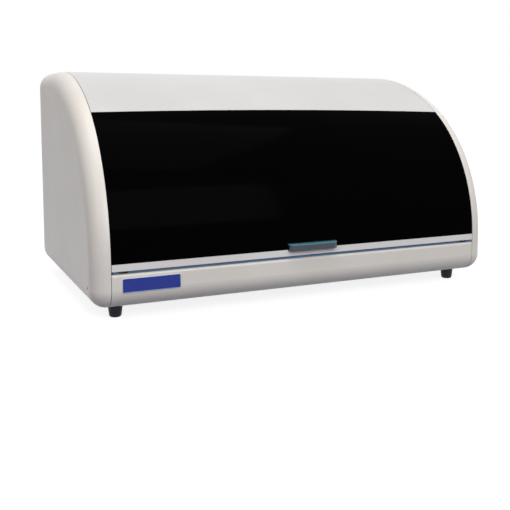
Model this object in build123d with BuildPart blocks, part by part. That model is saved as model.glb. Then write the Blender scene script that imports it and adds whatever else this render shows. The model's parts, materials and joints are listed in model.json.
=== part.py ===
from build123d import *
from math import acos, cos, pi, radians, sin, tan
import os

# Bench-top analyser that fills and reads microplates. Millimetres, X right, Y back, Z up.
# The origin is on the bench under the middle of the bounding box. Most sizes are a depth behind
# the front face and a rise above the cabinet's floor.

# Cabinet, seen from the side: an upright skirt, two tangent arcs, a flat top
body_width = 860
body_depth = 534
foot_height = 26
curve_start = 75
lower_radius = 335
arc_split = 58
upper_radius = 470
base_round = 34
rear_round = 34

# Walls and seams
wall = 4
seam_gap = 1
cheek_width = 33
cheek_round = 31
rib_height = 9
rib_thickness = 2.5
rib_count = 3
plate_thickness = 3
plate_gap = 0.3
running_gap = 0.05
edge_break = 1

# Base tray, deck and feet
base_height = 62.8
base_edge_round = 4.5
front_ledge = 48
rear_ledge = 40
deck_front = 40
deck_rear = 22
deck_thickness = 3
deck_side_gap = 6
foot_top_radius = 14
foot_tip_radius = 11.5
foot_edge_round = 4
foot_inset_side = 53.5
foot_inset_front = 58.5
foot_boss_height = 6
pad_inset = 107
nameplate_width = 108
nameplate_height = 26.5
nameplate_left = 52
nameplate_bottom = 29.5
nameplate_thickness = 0.8

# Lid
lid_gap = 5.7
rail_height = 12.6
lower_rail_depth = 30
rail_front_wall = 6
rail_flange = 3
lid_side_gap = 1.2
hinge_setback = 13.5
hinge_drop = 14
trough_gap = 2
pin_radius = 4
pin_flange_radius = 8
pin_shoulder = 2
eye_gap = 0.3
frame_depth = 14
frame_thickness = 10
joint_angle = 53.3
joint_gap = 0.3
frame_screw_count = 3
window_arch = 9
handle_width = 107
handle_height = 13.2
handle_reach = 12
handle_overhang = 1.7
handle_plan_round = 11.9
handle_edge_round = 2
bumper_inset_side = 56
bumper_depth = 26
bumper_radius = 6
soft_gap = 0.3

# Gantry: beam across the back, arm to the front, head on the arm
rear_bay = 84
bulkhead_thickness = 2
bulkhead_flange = 14
bulkhead_top_gap = 2
beam_rise = 262
beam_width = 40
beam_height = 50
beam_wall = 3
beam_slot = 8
beam_setback = 5
x_rail_width = 12
x_rail_height = 8
ball_groove = 1
reach_past_plate = 50
carriage_width = 60
carriage_height = 42
carriage_front = 17
jaw_thickness = 8
jaw_floor = 2
jaw_height = 9
arm_width = 24
arm_height = 30
arm_wall = 2.5
arm_overhang = 25
arm_rail_width = 12
arm_rail_height = 4
slide_gap = 0.4
needle_home_inset = 55
needle_setback = 54.5
needle_offset = 38
needle_radius = 0.8
needle_hub_radius = 3
needle_hub_height = 8
needle_length = 64
probe_travel = 75
pinion_drop = 41
pinion_teeth = 16
gear_module = 1
pressure_angle = 20
gear_backlash = 0.12
gear_dedendum = 1.25
pinion_width = 9
rack_bar = 8
rack_below_pinion = 22
rack_above_pinion = 5
guide_height = 12
guide_wall = 4
guide_clearance = 5
guide_back_gap = 1
head_plate = 10
head_plate_below = 2
head_plate_above = 8
head_plate_round = 3
shaft_radius = 2.5
small_motor = 28
small_motor_length = 26
large_motor = 42
large_motor_length = 40
motor_corner = 4
motor_bore_share = 3
shaft_clearance = 1

# Belt drive on top of the beam
pulley_radius = 8
pulley_flange = 1
pulley_flange_radius = 11
pulley_grooves = 18
belt_width = 6
belt_thickness = 1.4
idler_inset = 31
drive_inset = 47
idler_cap_radius = 4.5
idler_base_round = 2
belt_lift = 4

# Racks and wash cup on the deck
tube_rows = 6
tube_columns = 2
row_pitch = 44.1
column_pitch = 36
tube_bore = 8
tube_bore_depth = 55
sample_rack_margin = 16
sample_rack_height = 64
rack_gap = 12
reagent_rows = 3
reagent_well_width = 78
reagent_well_depth = 70
reagent_well_drop = 46
reagent_rib = 5
reagent_rack_height = 54
rack_round = 5
wash_gap = 27
wash_size = 36
wash_height = 50
wash_bore = 6
wash_trough = 3
drain_radius = 5
drain_length = 16

# Plate stage and reader
plate_length = 127.76
plate_breadth = 85.48
nest_gap = 0.4
nest_depth = 8
nest_ledge = 6
tower_gap = 35
tower_inset = 32
stage_travel = 170
carrier_rim = 6.5
carrier_thickness = 14
stage_rod_radius = 4
stage_rod_rise = 14
stage_rod_spacing = 120
stage_block = 16
stage_bracket = 10
stage_end_gap = 5
carrier_clearance = 2
tower_width = 170
tower_depth = 180
tower_height = 184
tower_round = 12
tower_top_round = 8
tunnel_width = 158
tunnel_height = 64
camera_size = 64
camera_height = 34
lens_radius = 24
lens_tip_radius = 17
lens_length = 62

# Syringe pump
pump_inset = 47
pump_width = 60
pump_gap = 10
pump_depth = 45
pump_height = 166
pump_round = 4
barrel_radius = 7
barrel_wall = 1
barrel_length = 70
barrel_offset = 16
pump_head_height = 17
plunger_travel = 55
plunger_rod_radius = 2
piston_height = 8
piston_top_gap = 2
driver_width = 22
driver_height = 10
driver_tongue = 10

# Rear fittings
port_reach = 12
bezel_thickness = 2
bezel_round = 2
inlet_inset = 97
switch_pitch = 50
data_pitch = 60
socket_rise = 110
inlet_width = 27.5
inlet_height = 20.5
inlet_depth = 24
blade_pitch = 7
blade_width = 2
switch_width = 18
switch_height = 21
switch_depth = 14
rocker_tilt = 8
rocker_pin_radius = 1
data_width = 12
data_height = 11
data_length = 18
fluid_x = -80
fluid_pitch = 26
fluid_ports_count = 3
spigot_radius = 3
spigot_bore = 1.6
port_strip_height = 20
port_strip_thickness = 3
fan_inset = 147
fan_rise = 300
fan_size = 60
fan_depth = 20
fan_radius = 28
fan_hub_radius = 12
fan_tip_gap = 1
fan_blades = 7
blade_twist = 14
blade_root = 0.5
guard_rings = 4
guard_overlap = 6
guard_thickness = 1.5
guard_wire = 1.6

# Electronics under the deck
supply_inset = 87
supply_centre = 270
supply_length = 200
supply_width = 105
supply_height = 40
supply_wall = 1.5
board_inset = 162
board_centre = 260
board_length = 190
board_width = 130
board_thickness = 1.6
standoff_radius = 4
standoff_height = 8
connector_columns = 3
connector_length = 32
connector_width = 16
processor_size = 32
vent_length = 60
vent_width = 4
vent_pitch = 10
vent_columns_apart = 90
floor_vents = 9
rear_vents = 6
supply_vent_length = 14
supply_vent_columns = 7
supply_vent_rows = 3

# Fasteners
screw_radius = 2
screw_head_radius = 3.8
screw_head_height = 2.6
cheek_screw_depth = 40
cheek_screw_rise = 34
cheek_screw_recess = 5
boss_radius = 6

# Values worked out from those above
front_y = handle_reach - (body_depth + handle_reach + port_reach) / 2
inner_half = body_width / 2 - cheek_width
tray_half = inner_half - seam_gap
lid_half = inner_half - lid_side_gap
split = radians(arc_split)
crown_depth = lower_radius + (upper_radius - lower_radius) * cos(split)
upper_centre_rise = curve_start - (upper_radius - lower_radius) * sin(split)
top_rise = upper_centre_rise + upper_radius
hinge_depth = crown_depth + hinge_setback
hinge_rise = top_rise - hinge_drop
rail_bottom = base_height + lid_gap
rail_top = rail_bottom + rail_height
lid_slot = hinge_drop - trough_gap
deck_top = base_height + deck_thickness
bulkhead_depth = body_depth - rear_bay
beam_front = bulkhead_depth - beam_width - beam_setback
beam_top = beam_rise + beam_height
beam_middle = beam_front + beam_width / 2
needle_home_depth = beam_front - needle_setback
needle_home_x = needle_home_inset - inner_half
sample_middle_x = needle_home_x + (tube_columns - 1) * column_pitch / 2
sample_width = (tube_columns - 1) * column_pitch + 2 * sample_rack_margin
carriage_home = needle_home_x + needle_offset
first_row = needle_home_depth - (tube_rows - 1) * row_pitch
sample_middle = first_row + (tube_rows - 1) * row_pitch / 2
arm_front = first_row - arm_overhang
arm_middle_rise = beam_rise + arm_height / 2
pinion_rise = arm_middle_rise - pinion_drop
pitch_radius = gear_module * pinion_teeth / 2
pinion_x = needle_home_x - rack_bar / 2 + gear_module - pitch_radius
rack_bottom = pinion_rise - rack_below_pinion
rack_top = pinion_rise + probe_travel + rack_above_pinion
head_back = needle_home_depth + rack_bar / 2 + guide_back_gap
arm_left = carriage_home - arm_width / 2
carriage_face = beam_front - carriage_front
x_rail_rise = beam_rise + beam_height / 2
belt_rise = beam_top + belt_lift
idler_x = idler_inset - inner_half
drive_x = inner_half - drive_inset
read_x = inner_half - tower_inset - tower_width / 2
nest_home = read_x - stage_travel
carriage_travel = nest_home + reach_past_plate - needle_home_x
carrier_width = plate_breadth + 2 * (nest_gap + carrier_rim)
carrier_length = plate_length + 2 * (nest_gap + carrier_rim)
rod_start = nest_home - carrier_width / 2 - stage_bracket - stage_end_gap
rod_end = read_x + carrier_width / 2 + stage_bracket + stage_end_gap
wash_x = rod_start - wash_gap - wash_size / 2
rod_rise = deck_top + stage_rod_rise
carrier_bottom = rod_rise + stage_rod_radius + carrier_clearance
pump_x = inner_half - pump_inset - pump_width / 2
pump_front = beam_front - pump_gap - pump_depth
nest_centre = pump_front - tower_gap - tower_depth / 2
barrel_depth = pump_front - barrel_offset
barrel_top = deck_top + pump_height - pump_head_height
plunger_rest = barrel_top - piston_height - piston_top_gap
inlet_x = inner_half - inlet_inset
switch_x = inlet_x - switch_pitch
data_x = switch_x - data_pitch
fan_x = fan_inset - inner_half
supply_x = supply_inset + supply_length / 2 - inner_half
board_x = inner_half - board_inset - board_length / 2


def from_side(x):
    """Upright plane across X: first coordinate is depth, second is rise."""
    return Plane(origin=(x, front_y, foot_height), x_dir=(0, 1, 0), z_dir=(1, 0, 0))


def from_above(rise):
    """Level plane: first coordinate is X, second is depth."""
    return Plane(origin=(0, front_y, foot_height + rise))


def from_front(depth):
    """Upright plane facing the user: first coordinate is X, second is rise."""
    return Plane(origin=(0, front_y + depth, foot_height), x_dir=(1, 0, 0), z_dir=(0, -1, 0))


def rim_point(angle, inset):
    """Depth and rise on the front curve, angle degrees up from its start, moved in by inset."""
    turn = radians(angle)
    if angle <= arc_split:
        radius = lower_radius - inset
        return lower_radius - radius * cos(turn), curve_start + radius * sin(turn)
    radius = upper_radius - inset
    return crown_depth - radius * cos(turn), upper_centre_rise + radius * sin(turn)


def rim_plane(x, angle, inset):
    """Plane on the front curve whose normal points out of the cabinet."""
    depth, rise = rim_point(angle, inset)
    turn = radians(angle)
    return Plane(
        origin=(x, front_y + depth, foot_height + rise),
        x_dir=(1, 0, 0),
        z_dir=(0, -cos(turn), sin(turn)),
    )


def cabinet_profile(inset=0.0):
    """Side view of the cabinet with its edge moved in by inset."""
    back = body_depth - inset
    top = top_rise - inset
    with BuildSketch() as profile:
        with BuildLine():
            Line((inset, base_round), (inset, curve_start))
            CenterArc((lower_radius, curve_start), lower_radius - inset, 180, -arc_split)
            CenterArc((crown_depth, upper_centre_rise), upper_radius - inset, 180 - arc_split, arc_split - 90)
            Line((crown_depth, top), (body_depth - rear_round, top))
            CenterArc((body_depth - rear_round, top_rise - rear_round), rear_round - inset, 90, -90)
            Line((back, top_rise - rear_round), (back, base_round))
            CenterArc((body_depth - base_round, base_round), base_round - inset, 0, -90)
            Line((body_depth - base_round, inset), (base_round, inset))
            CenterArc((base_round, base_round), base_round - inset, 270, -90)
        make_face()
    return profile.sketch


def screw(head_radius, head_height, shank_radius, shank_length):
    """Screw on the Z axis: head above the origin, shank below it."""
    with BuildPart() as body:
        with BuildSketch():
            Circle(head_radius)
        extrude(amount=head_height)
        chamfer(body.faces().sort_by(Axis.Z)[-1].edges(), head_height / 4)
        with BuildSketch():
            Circle(shank_radius)
        extrude(amount=-shank_length)
    return body.part


def motor_body(size, length):
    """Square motor with its mounting face on the XY plane, its body above and a blind shaft bore."""
    with BuildPart() as body:
        with BuildSketch():
            Rectangle(size, size)
        extrude(amount=length)
        chamfer(body.edges().filter_by(Axis.Z), motor_corner)
        with BuildSketch():
            Circle(shaft_radius + running_gap)
        extrude(amount=length / motor_bore_share, mode=Mode.SUBTRACT)
    return body.part


def cheek_form(inset):
    """Solid form of the left cheek with its rounded outer face, moved in by inset."""
    with BuildPart() as form:
        with BuildSketch(from_side(-inner_half)):
            add(cabinet_profile(inset))
        extrude(amount=inset - cheek_width)
        fillet(form.faces().sort_by(Axis.X)[0].edges(), cheek_round - inset)
    return form.part


# Cheeks: moulded shells, open inwards, with ribs and bosses that meet the side plate
cheek_cavity = cheek_form(wall)
cheek_bosses = [
    (cheek_screw_depth, cheek_screw_rise),
    (body_depth - cheek_screw_depth, cheek_screw_rise),
    (body_depth - cheek_screw_depth, top_rise - cheek_screw_depth),
    (hinge_depth - 3 * cheek_screw_depth, hinge_rise - 2 * cheek_screw_depth),
]
rib_depths = [body_depth * (step + 1) / (rib_count + 1) for step in range(rib_count)]
rib_rises = [top_rise * (step + 1) / (rib_count + 1) for step in range(rib_count)]
with BuildPart() as cheek_ribs:
    with BuildSketch(from_side(wall + rib_height - body_width / 2)):
        for rib_depth in rib_depths:
            with Locations((rib_depth, top_rise / 2)):
                Rectangle(rib_thickness, top_rise)
        for rib_rise in rib_rises:
            with Locations((body_depth / 2, rib_rise)):
                Rectangle(body_depth, rib_thickness)
    extrude(amount=-rib_height)
    with BuildSketch(from_side(-inner_half - plate_thickness)):
        with Locations(*cheek_bosses):
            Circle(boss_radius)
    extrude(amount=plate_thickness - cheek_width)
    add(cheek_cavity, mode=Mode.INTERSECT)

with BuildPart() as left_cheek:
    add(cheek_form(0))
    add(cheek_cavity, mode=Mode.SUBTRACT)
    add(cheek_ribs.part)
    with BuildSketch(from_side(-body_width / 2)):
        with Locations((cheek_screw_depth, cheek_screw_rise)):
            Circle(screw_radius)
    extrude(amount=cheek_width, mode=Mode.SUBTRACT)
    with BuildSketch(from_side(-body_width / 2)):
        with Locations((cheek_screw_depth, cheek_screw_rise)):
            Circle(screw_head_radius + plate_gap)
    extrude(amount=cheek_screw_recess, mode=Mode.SUBTRACT)

with BuildPart() as right_cheek:
    mirror(left_cheek.part, about=Plane.YZ)

# Side plates: sheets in the mouths of the cheeks that carry the hinge pins and the beam
with BuildPart() as left_side_plate:
    with BuildSketch(from_side(-inner_half)):
        add(cabinet_profile(wall + plate_gap))
        with Locations((hinge_depth, hinge_rise)):
            Circle(pin_radius + running_gap, mode=Mode.SUBTRACT)
        with Locations((cheek_screw_depth, cheek_screw_rise)):
            Circle(screw_radius + running_gap, mode=Mode.SUBTRACT)
        with Locations(((bulkhead_depth + body_depth) / 2, top_rise / 2)):
            SlotOverall(top_rise / 2, (body_depth - bulkhead_depth) / 3, rotation=90, mode=Mode.SUBTRACT)
    extrude(amount=-plate_thickness)

with BuildPart() as right_side_plate:
    mirror(left_side_plate.part, about=Plane.YZ)

# Base tray: skirt, floor and a ledge all round that the deck plate lies on
foot_x = body_width / 2 - foot_inset_side
foot_spots = [
    (-foot_x, foot_inset_front),
    (foot_x, foot_inset_front),
    (-foot_x, body_depth - foot_inset_front),
    (foot_x, body_depth - foot_inset_front),
]
pad_depths = [pad_inset, body_depth - pad_inset]
standoff_x = board_length / 2 - 2 * standoff_radius
standoff_y = board_width / 2 - 2 * standoff_radius
standoff_spots = [(board_x + x * standoff_x, board_centre + y * standoff_y) for x in (-1, 1) for y in (-1, 1)]
with BuildPart() as base_tray:
    with BuildSketch(from_side(-tray_half)):
        add(cabinet_profile())
        Rectangle(2 * body_depth, 2 * base_height, mode=Mode.INTERSECT)
    extrude(amount=2 * tray_half)
    top_edges = base_tray.faces().sort_by(Axis.Z)[-1].edges()
    fillet(top_edges.sort_by(Axis.Y)[0], base_edge_round)
    with BuildSketch(from_side(wall - tray_half)):
        add(cabinet_profile(wall))
        Rectangle(2 * body_depth, 2 * (base_height - wall), mode=Mode.INTERSECT)
    extrude(amount=2 * (tray_half - wall), mode=Mode.SUBTRACT)
    with BuildSketch(from_above(base_height)):
        with Locations((0, (front_ledge + body_depth - rear_ledge) / 2)):
            RectangleRounded(
                2 * tray_half - front_ledge, body_depth - front_ledge - rear_ledge, rear_round / 2
            )
    extrude(amount=-2 * wall, mode=Mode.SUBTRACT)
    with BuildSketch(from_above(0)):
        with Locations((supply_x, supply_centre)):
            with GridLocations(vent_columns_apart, vent_pitch, 2, floor_vents):
                SlotOverall(vent_length, vent_width)
    extrude(amount=wall, mode=Mode.SUBTRACT)
    with BuildSketch(from_above(wall)):
        with Locations(*foot_spots):
            Circle(boss_radius + screw_radius)
    extrude(amount=foot_boss_height)
    with BuildSketch(from_above(wall)):
        with Locations(*standoff_spots):
            Circle(standoff_radius)
    extrude(amount=standoff_height)
    with BuildSketch(from_above(0)):
        with Locations(*foot_spots):
            Circle(screw_radius + running_gap)
    extrude(amount=wall + foot_boss_height, mode=Mode.SUBTRACT)
    for side in (-1, 1):
        with BuildSketch(from_side(side * tray_half)):
            with Locations(*[(pad_depth, base_height / 2) for pad_depth in pad_depths]):
                Circle(boss_radius)
        extrude(amount=side * seam_gap)

# Blank name plate, a thin foil that follows the skirt
nameplate_x = nameplate_left + nameplate_width / 2 - body_width / 2
with BuildPart() as nameplate:
    with BuildSketch(from_front(body_depth / 2)):
        with Locations((nameplate_x, nameplate_bottom + nameplate_height / 2)):
            RectangleRounded(nameplate_width, nameplate_height, nameplate_height / 6)
    extrude(amount=body_depth)
    with BuildSketch(from_side(-body_width / 2)):
        add(cabinet_profile(-nameplate_thickness))
        add(cabinet_profile(), mode=Mode.SUBTRACT)
    extrude(amount=body_width, mode=Mode.INTERSECT)

# Feet: tapered rubber, each held by a screw from inside the tray
with BuildPart() as foot:
    with BuildSketch(Plane.XZ):
        with BuildLine():
            Polyline(
                (0, foot_height),
                (0, 0),
                (foot_tip_radius, 0),
                (foot_top_radius, foot_height),
                (0, foot_height),
            )
        make_face()
    revolve(axis=Axis.Z)
    fillet(foot.faces().sort_by(Axis.Z)[0].edges(), foot_edge_round)
    with BuildSketch(Plane.XY.offset(foot_height)):
        Circle(screw_radius)
    extrude(amount=-foot_height / 2, mode=Mode.SUBTRACT)

foot_names = ["front_left_foot", "front_right_foot", "rear_left_foot", "rear_right_foot"]
feet = {}
for foot_name, (spot_x, spot_depth) in zip(foot_names, foot_spots):
    with BuildPart() as placed_foot:
        with Locations((spot_x, front_y + spot_depth, 0)):
            add(foot.part)
    feet[foot_name] = placed_foot

with BuildPart() as foot_screws:
    with Locations(*[from_above(wall + foot_boss_height) * Pos(x, y) for x, y in foot_spots]):
        add(
            screw(screw_head_radius, screw_head_height, screw_radius, wall + foot_boss_height + foot_height / 3)
        )

# Deck: the plate that carries the racks, the wash cup, the stage and the reader
with BuildPart() as deck_plate:
    with BuildSketch(from_above(base_height)):
        deck_length = body_depth - deck_front - deck_rear
        with Locations((0, deck_front + deck_length / 2)):
            RectangleRounded(2 * (tray_half - deck_side_gap), deck_length, deck_side_gap)
        with Locations((wash_x, needle_home_depth)):
            Circle(drain_radius + running_gap, mode=Mode.SUBTRACT)
        with Locations(((supply_x + board_x) / 2, bulkhead_depth + 2 * bulkhead_flange)):
            SlotOverall(vent_length, 4 * vent_width, mode=Mode.SUBTRACT)
    extrude(amount=deck_thickness)

# Bulkhead: bent sheet between the work bay and the rear fittings
with BuildPart() as bulkhead:
    with BuildSketch(from_side(-tray_half)):
        bulkhead_height = hinge_rise - hinge_drop - trough_gap - wall - deck_top - bulkhead_top_gap
        with Locations((bulkhead_depth + bulkhead_thickness / 2, deck_top + bulkhead_height / 2)):
            Rectangle(bulkhead_thickness, bulkhead_height)
        with Locations((bulkhead_depth + bulkhead_flange / 2, deck_top + bulkhead_thickness / 2)):
            Rectangle(bulkhead_flange, bulkhead_thickness)
        with Locations(
            (bulkhead_depth + bulkhead_flange / 2, deck_top + bulkhead_height - bulkhead_thickness / 2)
        ):
            Rectangle(bulkhead_flange, bulkhead_thickness)
    extrude(amount=2 * tray_half)
    with BuildSketch(from_front(bulkhead_depth + bulkhead_flange)):
        with Locations((0, deck_top + bulkhead_height / 4)):
            SlotOverall(2 * vent_length, 4 * vent_width)
    extrude(amount=bulkhead_flange, mode=Mode.SUBTRACT)

# Rear cover: moulded shell with a trough that the lid's nose turns in
with BuildPart() as rear_cover:
    with BuildSketch(from_side(-tray_half)):
        add(cabinet_profile())
        Rectangle(2 * body_depth, 2 * (base_height + seam_gap), mode=Mode.SUBTRACT)
        with Locations((hinge_depth - body_depth, top_rise / 2)):
            Rectangle(2 * body_depth, 2 * top_rise, mode=Mode.SUBTRACT)
        with Locations((hinge_depth, hinge_rise)):
            Circle(hinge_drop + trough_gap, mode=Mode.SUBTRACT)
        with Locations((hinge_depth, top_rise)):
            Rectangle(2 * lid_slot, 2 * hinge_drop, mode=Mode.SUBTRACT)
    extrude(amount=2 * tray_half)
    with BuildSketch(from_side(-tray_half)):
        add(cabinet_profile(wall))
        Rectangle(2 * body_depth, 2 * (base_height + seam_gap), mode=Mode.SUBTRACT)
        with Locations((hinge_depth - body_depth, top_rise / 2)):
            Rectangle(2 * body_depth, 2 * top_rise, mode=Mode.SUBTRACT)
        with Locations((hinge_depth, hinge_rise)):
            Circle(hinge_drop + trough_gap + wall, mode=Mode.SUBTRACT)
    extrude(amount=2 * tray_half, mode=Mode.SUBTRACT)
    with BuildSketch(from_side(-tray_half)):
        with Locations((body_depth - 2 * wall - seam_gap, base_height + wall / 2)):
            Rectangle(2 * wall, wall)
        with Locations((body_depth - wall - seam_gap / 2, base_height + wall)):
            Rectangle(2 * wall, wall)
        add(cabinet_profile(wall / 2), mode=Mode.INTERSECT)
    extrude(amount=2 * tray_half)
    with BuildSketch(from_front(body_depth + port_reach)):
        with Locations((inlet_x, socket_rise)):
            Rectangle(inlet_width, inlet_height)
        with Locations((switch_x, socket_rise)):
            Rectangle(switch_width + 2 * bezel_thickness, switch_height + 2 * bezel_thickness)
        with Locations((data_x, socket_rise)):
            Rectangle(data_width, data_height)
        with Locations((fluid_x, socket_rise)):
            with GridLocations(fluid_pitch, 1, fluid_ports_count, 1):
                Circle(spigot_radius)
        with Locations((fan_x, fan_rise)):
            Circle(fan_radius)
        with Locations((-fan_x, fan_rise)):
            with GridLocations(vent_columns_apart, 2 * vent_pitch, 2, rear_vents):
                SlotOverall(vent_length, vent_width)
    extrude(amount=port_reach + 2 * wall, mode=Mode.SUBTRACT)

# Bumpers in the gap between the lid and the skirt
with BuildPart() as lid_bumpers:
    with BuildSketch(from_above(base_height)):
        with Locations(*[(side * (body_width / 2 - bumper_inset_side), bumper_depth) for side in (-1, 1)]):
            Circle(bumper_radius)
    extrude(amount=lid_gap - soft_gap)
    fillet(lid_bumpers.faces().sort_by(Axis.Z)[-2:].edges(), bumper_radius / 5)

# Hinge pins: flanged behind the side plate, with a shoulder beside the lid frame
with BuildPart() as hinge_pins:
    for side in (-1, 1):
        with BuildSketch(from_side(side * (inner_half + plate_thickness))):
            with Locations((hinge_depth, hinge_rise)):
                Circle(pin_flange_radius)
        extrude(amount=side * plate_thickness)
        with BuildSketch(from_side(side * (inner_half + plate_thickness))):
            with Locations((hinge_depth, hinge_rise)):
                Circle(pin_radius)
        extrude(amount=-side * (plate_thickness + lid_side_gap + frame_thickness + running_gap))
        with BuildSketch(from_side(side * inner_half)):
            with Locations((hinge_depth, hinge_rise)):
                Circle(pin_radius + pin_shoulder)
        extrude(amount=-side * (lid_side_gap - running_gap))

# Lid: one shell cut along an arched joint into the pale band and the black window
joint_plane = rim_plane(0, joint_angle, -wall)
with BuildSketch() as nose:
    with Locations((hinge_depth, hinge_rise)):
        Circle(hinge_drop)
        Circle(hinge_drop - wall, mode=Mode.SUBTRACT)
        with Locations((hinge_drop / 2, hinge_drop / 2)):
            Rectangle(hinge_drop, hinge_drop, mode=Mode.INTERSECT)


def lid_section():
    """Side view of the lid's shell, from the lower rail to the nose round the hinge."""
    with BuildSketch() as section:
        add(cabinet_profile())
        add(cabinet_profile(wall), mode=Mode.SUBTRACT)
        Rectangle(2 * body_depth, 2 * rail_top, mode=Mode.SUBTRACT)
        with Locations((hinge_depth + body_depth, 0)):
            Rectangle(2 * body_depth, 4 * top_rise, mode=Mode.SUBTRACT)
        add(nose.sketch)
    return section.sketch


def window_region(gap):
    """Block that holds the window, with its arched upper edge lowered by gap."""
    edge = body_width / 2
    with BuildPart() as region:
        with BuildSketch(joint_plane):
            with BuildLine():
                Polyline((-edge, -gap), (-edge, -lower_radius), (edge, -lower_radius), (edge, -gap))
                ThreePointArc((edge, -gap), (0, window_arch - gap), (-edge, -gap))
            make_face()
        extrude(amount=-lower_radius)
    return region.part


with BuildPart() as lid_shell:
    with BuildSketch(from_side(-lid_half)):
        add(lid_section())
    extrude(amount=2 * lid_half)

with BuildPart() as lid_band:
    add(lid_shell.part)
    add(window_region(0), mode=Mode.SUBTRACT)

with BuildPart() as window_panel:
    add(lid_shell.part)
    add(window_region(joint_gap), mode=Mode.INTERSECT)

with BuildPart() as lower_rail:
    with BuildSketch(from_side(-lid_half)):
        add(cabinet_profile())
        with Locations((0, rail_bottom)):
            Rectangle(2 * lower_rail_depth, 2 * rail_height, mode=Mode.INTERSECT)
        Rectangle(2 * body_depth, 2 * rail_bottom, mode=Mode.SUBTRACT)
        with Locations((rail_front_wall + lower_rail_depth, rail_bottom)):
            Rectangle(2 * lower_rail_depth, 2 * (rail_height - rail_flange), mode=Mode.SUBTRACT)
    extrude(amount=2 * lid_half)

with BuildPart() as lid_handle:
    with BuildSketch(from_above(rail_top - handle_overhang)):
        RectangleRounded(handle_width, 2 * handle_reach, handle_plan_round)
    extrude(amount=handle_height)
    with BuildSketch(from_side(-handle_width)):
        add(cabinet_profile())
    extrude(amount=2 * handle_width, mode=Mode.SUBTRACT)
    level_faces = lid_handle.faces().sort_by(Axis.Z)
    level_edges = level_faces[-1].edges() + level_faces[0].edges()
    fillet(
        [edge for edge in level_edges if edge.center().Y < front_y - handle_edge_round / 2], handle_edge_round
    )

frame_screw_angles = [arc_split * (step + 0.5) / frame_screw_count for step in range(frame_screw_count)]
frame_screw_angles.append((arc_split + 90) / 2)
with BuildPart() as left_lid_frame:
    with BuildSketch(from_side(-lid_half)):
        add(cabinet_profile(wall))
        add(cabinet_profile(wall + frame_depth), mode=Mode.SUBTRACT)
        Rectangle(2 * body_depth, 2 * rail_top, mode=Mode.SUBTRACT)
        with Locations((hinge_depth + body_depth, 0)):
            Rectangle(2 * body_depth, 4 * top_rise, mode=Mode.SUBTRACT)
        with Locations((hinge_depth, hinge_rise)):
            Circle(hinge_drop - wall - eye_gap)
            Circle(pin_radius + running_gap, mode=Mode.SUBTRACT)
    extrude(amount=frame_thickness)
    for angle in frame_screw_angles:
        with BuildSketch(rim_plane(frame_thickness / 2 - lid_half, angle, wall)):
            Circle(screw_radius)
        extrude(amount=-2 * frame_depth, mode=Mode.SUBTRACT)

with BuildPart() as right_lid_frame:
    mirror(left_lid_frame.part, about=Plane.YZ)

with BuildPart() as lid_screws:
    for side in (-1, 1):
        screw_x = side * (lid_half - frame_thickness / 2)
        for angle in frame_screw_angles:
            inner_end = rim_plane(screw_x, angle, wall + frame_depth + running_gap)
            facing_in = Plane(origin=inner_end.origin, x_dir=inner_end.x_dir, z_dir=-inner_end.z_dir)
            with Locations(facing_in):
                add(screw(screw_head_radius, screw_head_height, screw_radius, frame_depth - soft_gap))

# Beam across the back: a hollow extrusion with slots, between the side plates
with BuildPart() as x_beam:
    with BuildSketch(from_side(-inner_half)):
        with Locations((beam_middle, beam_rise + beam_height / 2)):
            RectangleRounded(beam_width, beam_height, edge_break)
            Rectangle(beam_width - 2 * beam_wall, beam_height / 2 - 2 * beam_wall, mode=Mode.SUBTRACT)
            with Locations((0, beam_height / 2), (0, -beam_height / 2)):
                Rectangle(beam_slot, beam_wall, mode=Mode.SUBTRACT)
            with Locations((beam_width / 2, 0)):
                Rectangle(beam_wall, beam_slot, mode=Mode.SUBTRACT)
    extrude(amount=2 * inner_half)
    with BuildSketch(from_above(beam_top)):
        with Locations((drive_x, beam_middle)):
            Circle(2 * shaft_radius)
    extrude(amount=-beam_height, mode=Mode.SUBTRACT)

x_rail_start = carriage_home - carriage_width / 2 - 2 * x_rail_height
x_rail_length = carriage_travel + carriage_width + 4 * x_rail_height
with BuildPart() as x_rail:
    with BuildSketch(from_side(x_rail_start)):
        with Locations((beam_front - x_rail_height / 2, x_rail_rise)):
            Rectangle(x_rail_height, x_rail_width)
            with Locations((0, x_rail_width / 2), (0, -x_rail_width / 2)):
                Circle(ball_groove, mode=Mode.SUBTRACT)
    extrude(amount=x_rail_length)

with BuildPart() as x_motor:
    with Locations(from_above(beam_rise) * Pos(drive_x, beam_middle) * Rot(180, 0, 0)):
        add(motor_body(large_motor, large_motor_length))


def belt_pulley(shaft_down):
    """Toothed pulley on the Z axis, its lower flange on the XY plane."""
    with BuildPart() as wheel:
        with BuildSketch():
            Circle(pulley_flange_radius)
        extrude(amount=pulley_flange)
        with BuildSketch(Plane.XY.offset(pulley_flange)):
            Circle(pulley_radius - running_gap)
            with PolarLocations(pulley_radius, pulley_grooves):
                Circle(pulley_radius * pi / pulley_grooves / 4, mode=Mode.SUBTRACT)
        extrude(amount=belt_width + pulley_flange)
        with BuildSketch(Plane.XY.offset(belt_width + 2 * pulley_flange)):
            Circle(pulley_flange_radius)
        extrude(amount=pulley_flange)
        if shaft_down:
            with BuildSketch():
                Circle(shaft_radius)
            extrude(amount=-shaft_down)
        else:
            with BuildSketch():
                Circle(shaft_radius + running_gap)
            extrude(amount=belt_width + 3 * pulley_flange, mode=Mode.SUBTRACT)
    return wheel.part


pulley_rise = belt_rise - 1.5 * pulley_flange
with BuildPart() as x_drive_pulley:
    with Locations((drive_x, front_y + beam_middle, foot_height + pulley_rise)):
        add(belt_pulley(pulley_rise - beam_rise + large_motor_length / motor_bore_share - shaft_clearance))

with BuildPart() as x_idler_pulley:
    with Locations((idler_x, front_y + beam_middle, foot_height + pulley_rise)):
        add(belt_pulley(0))

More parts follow.
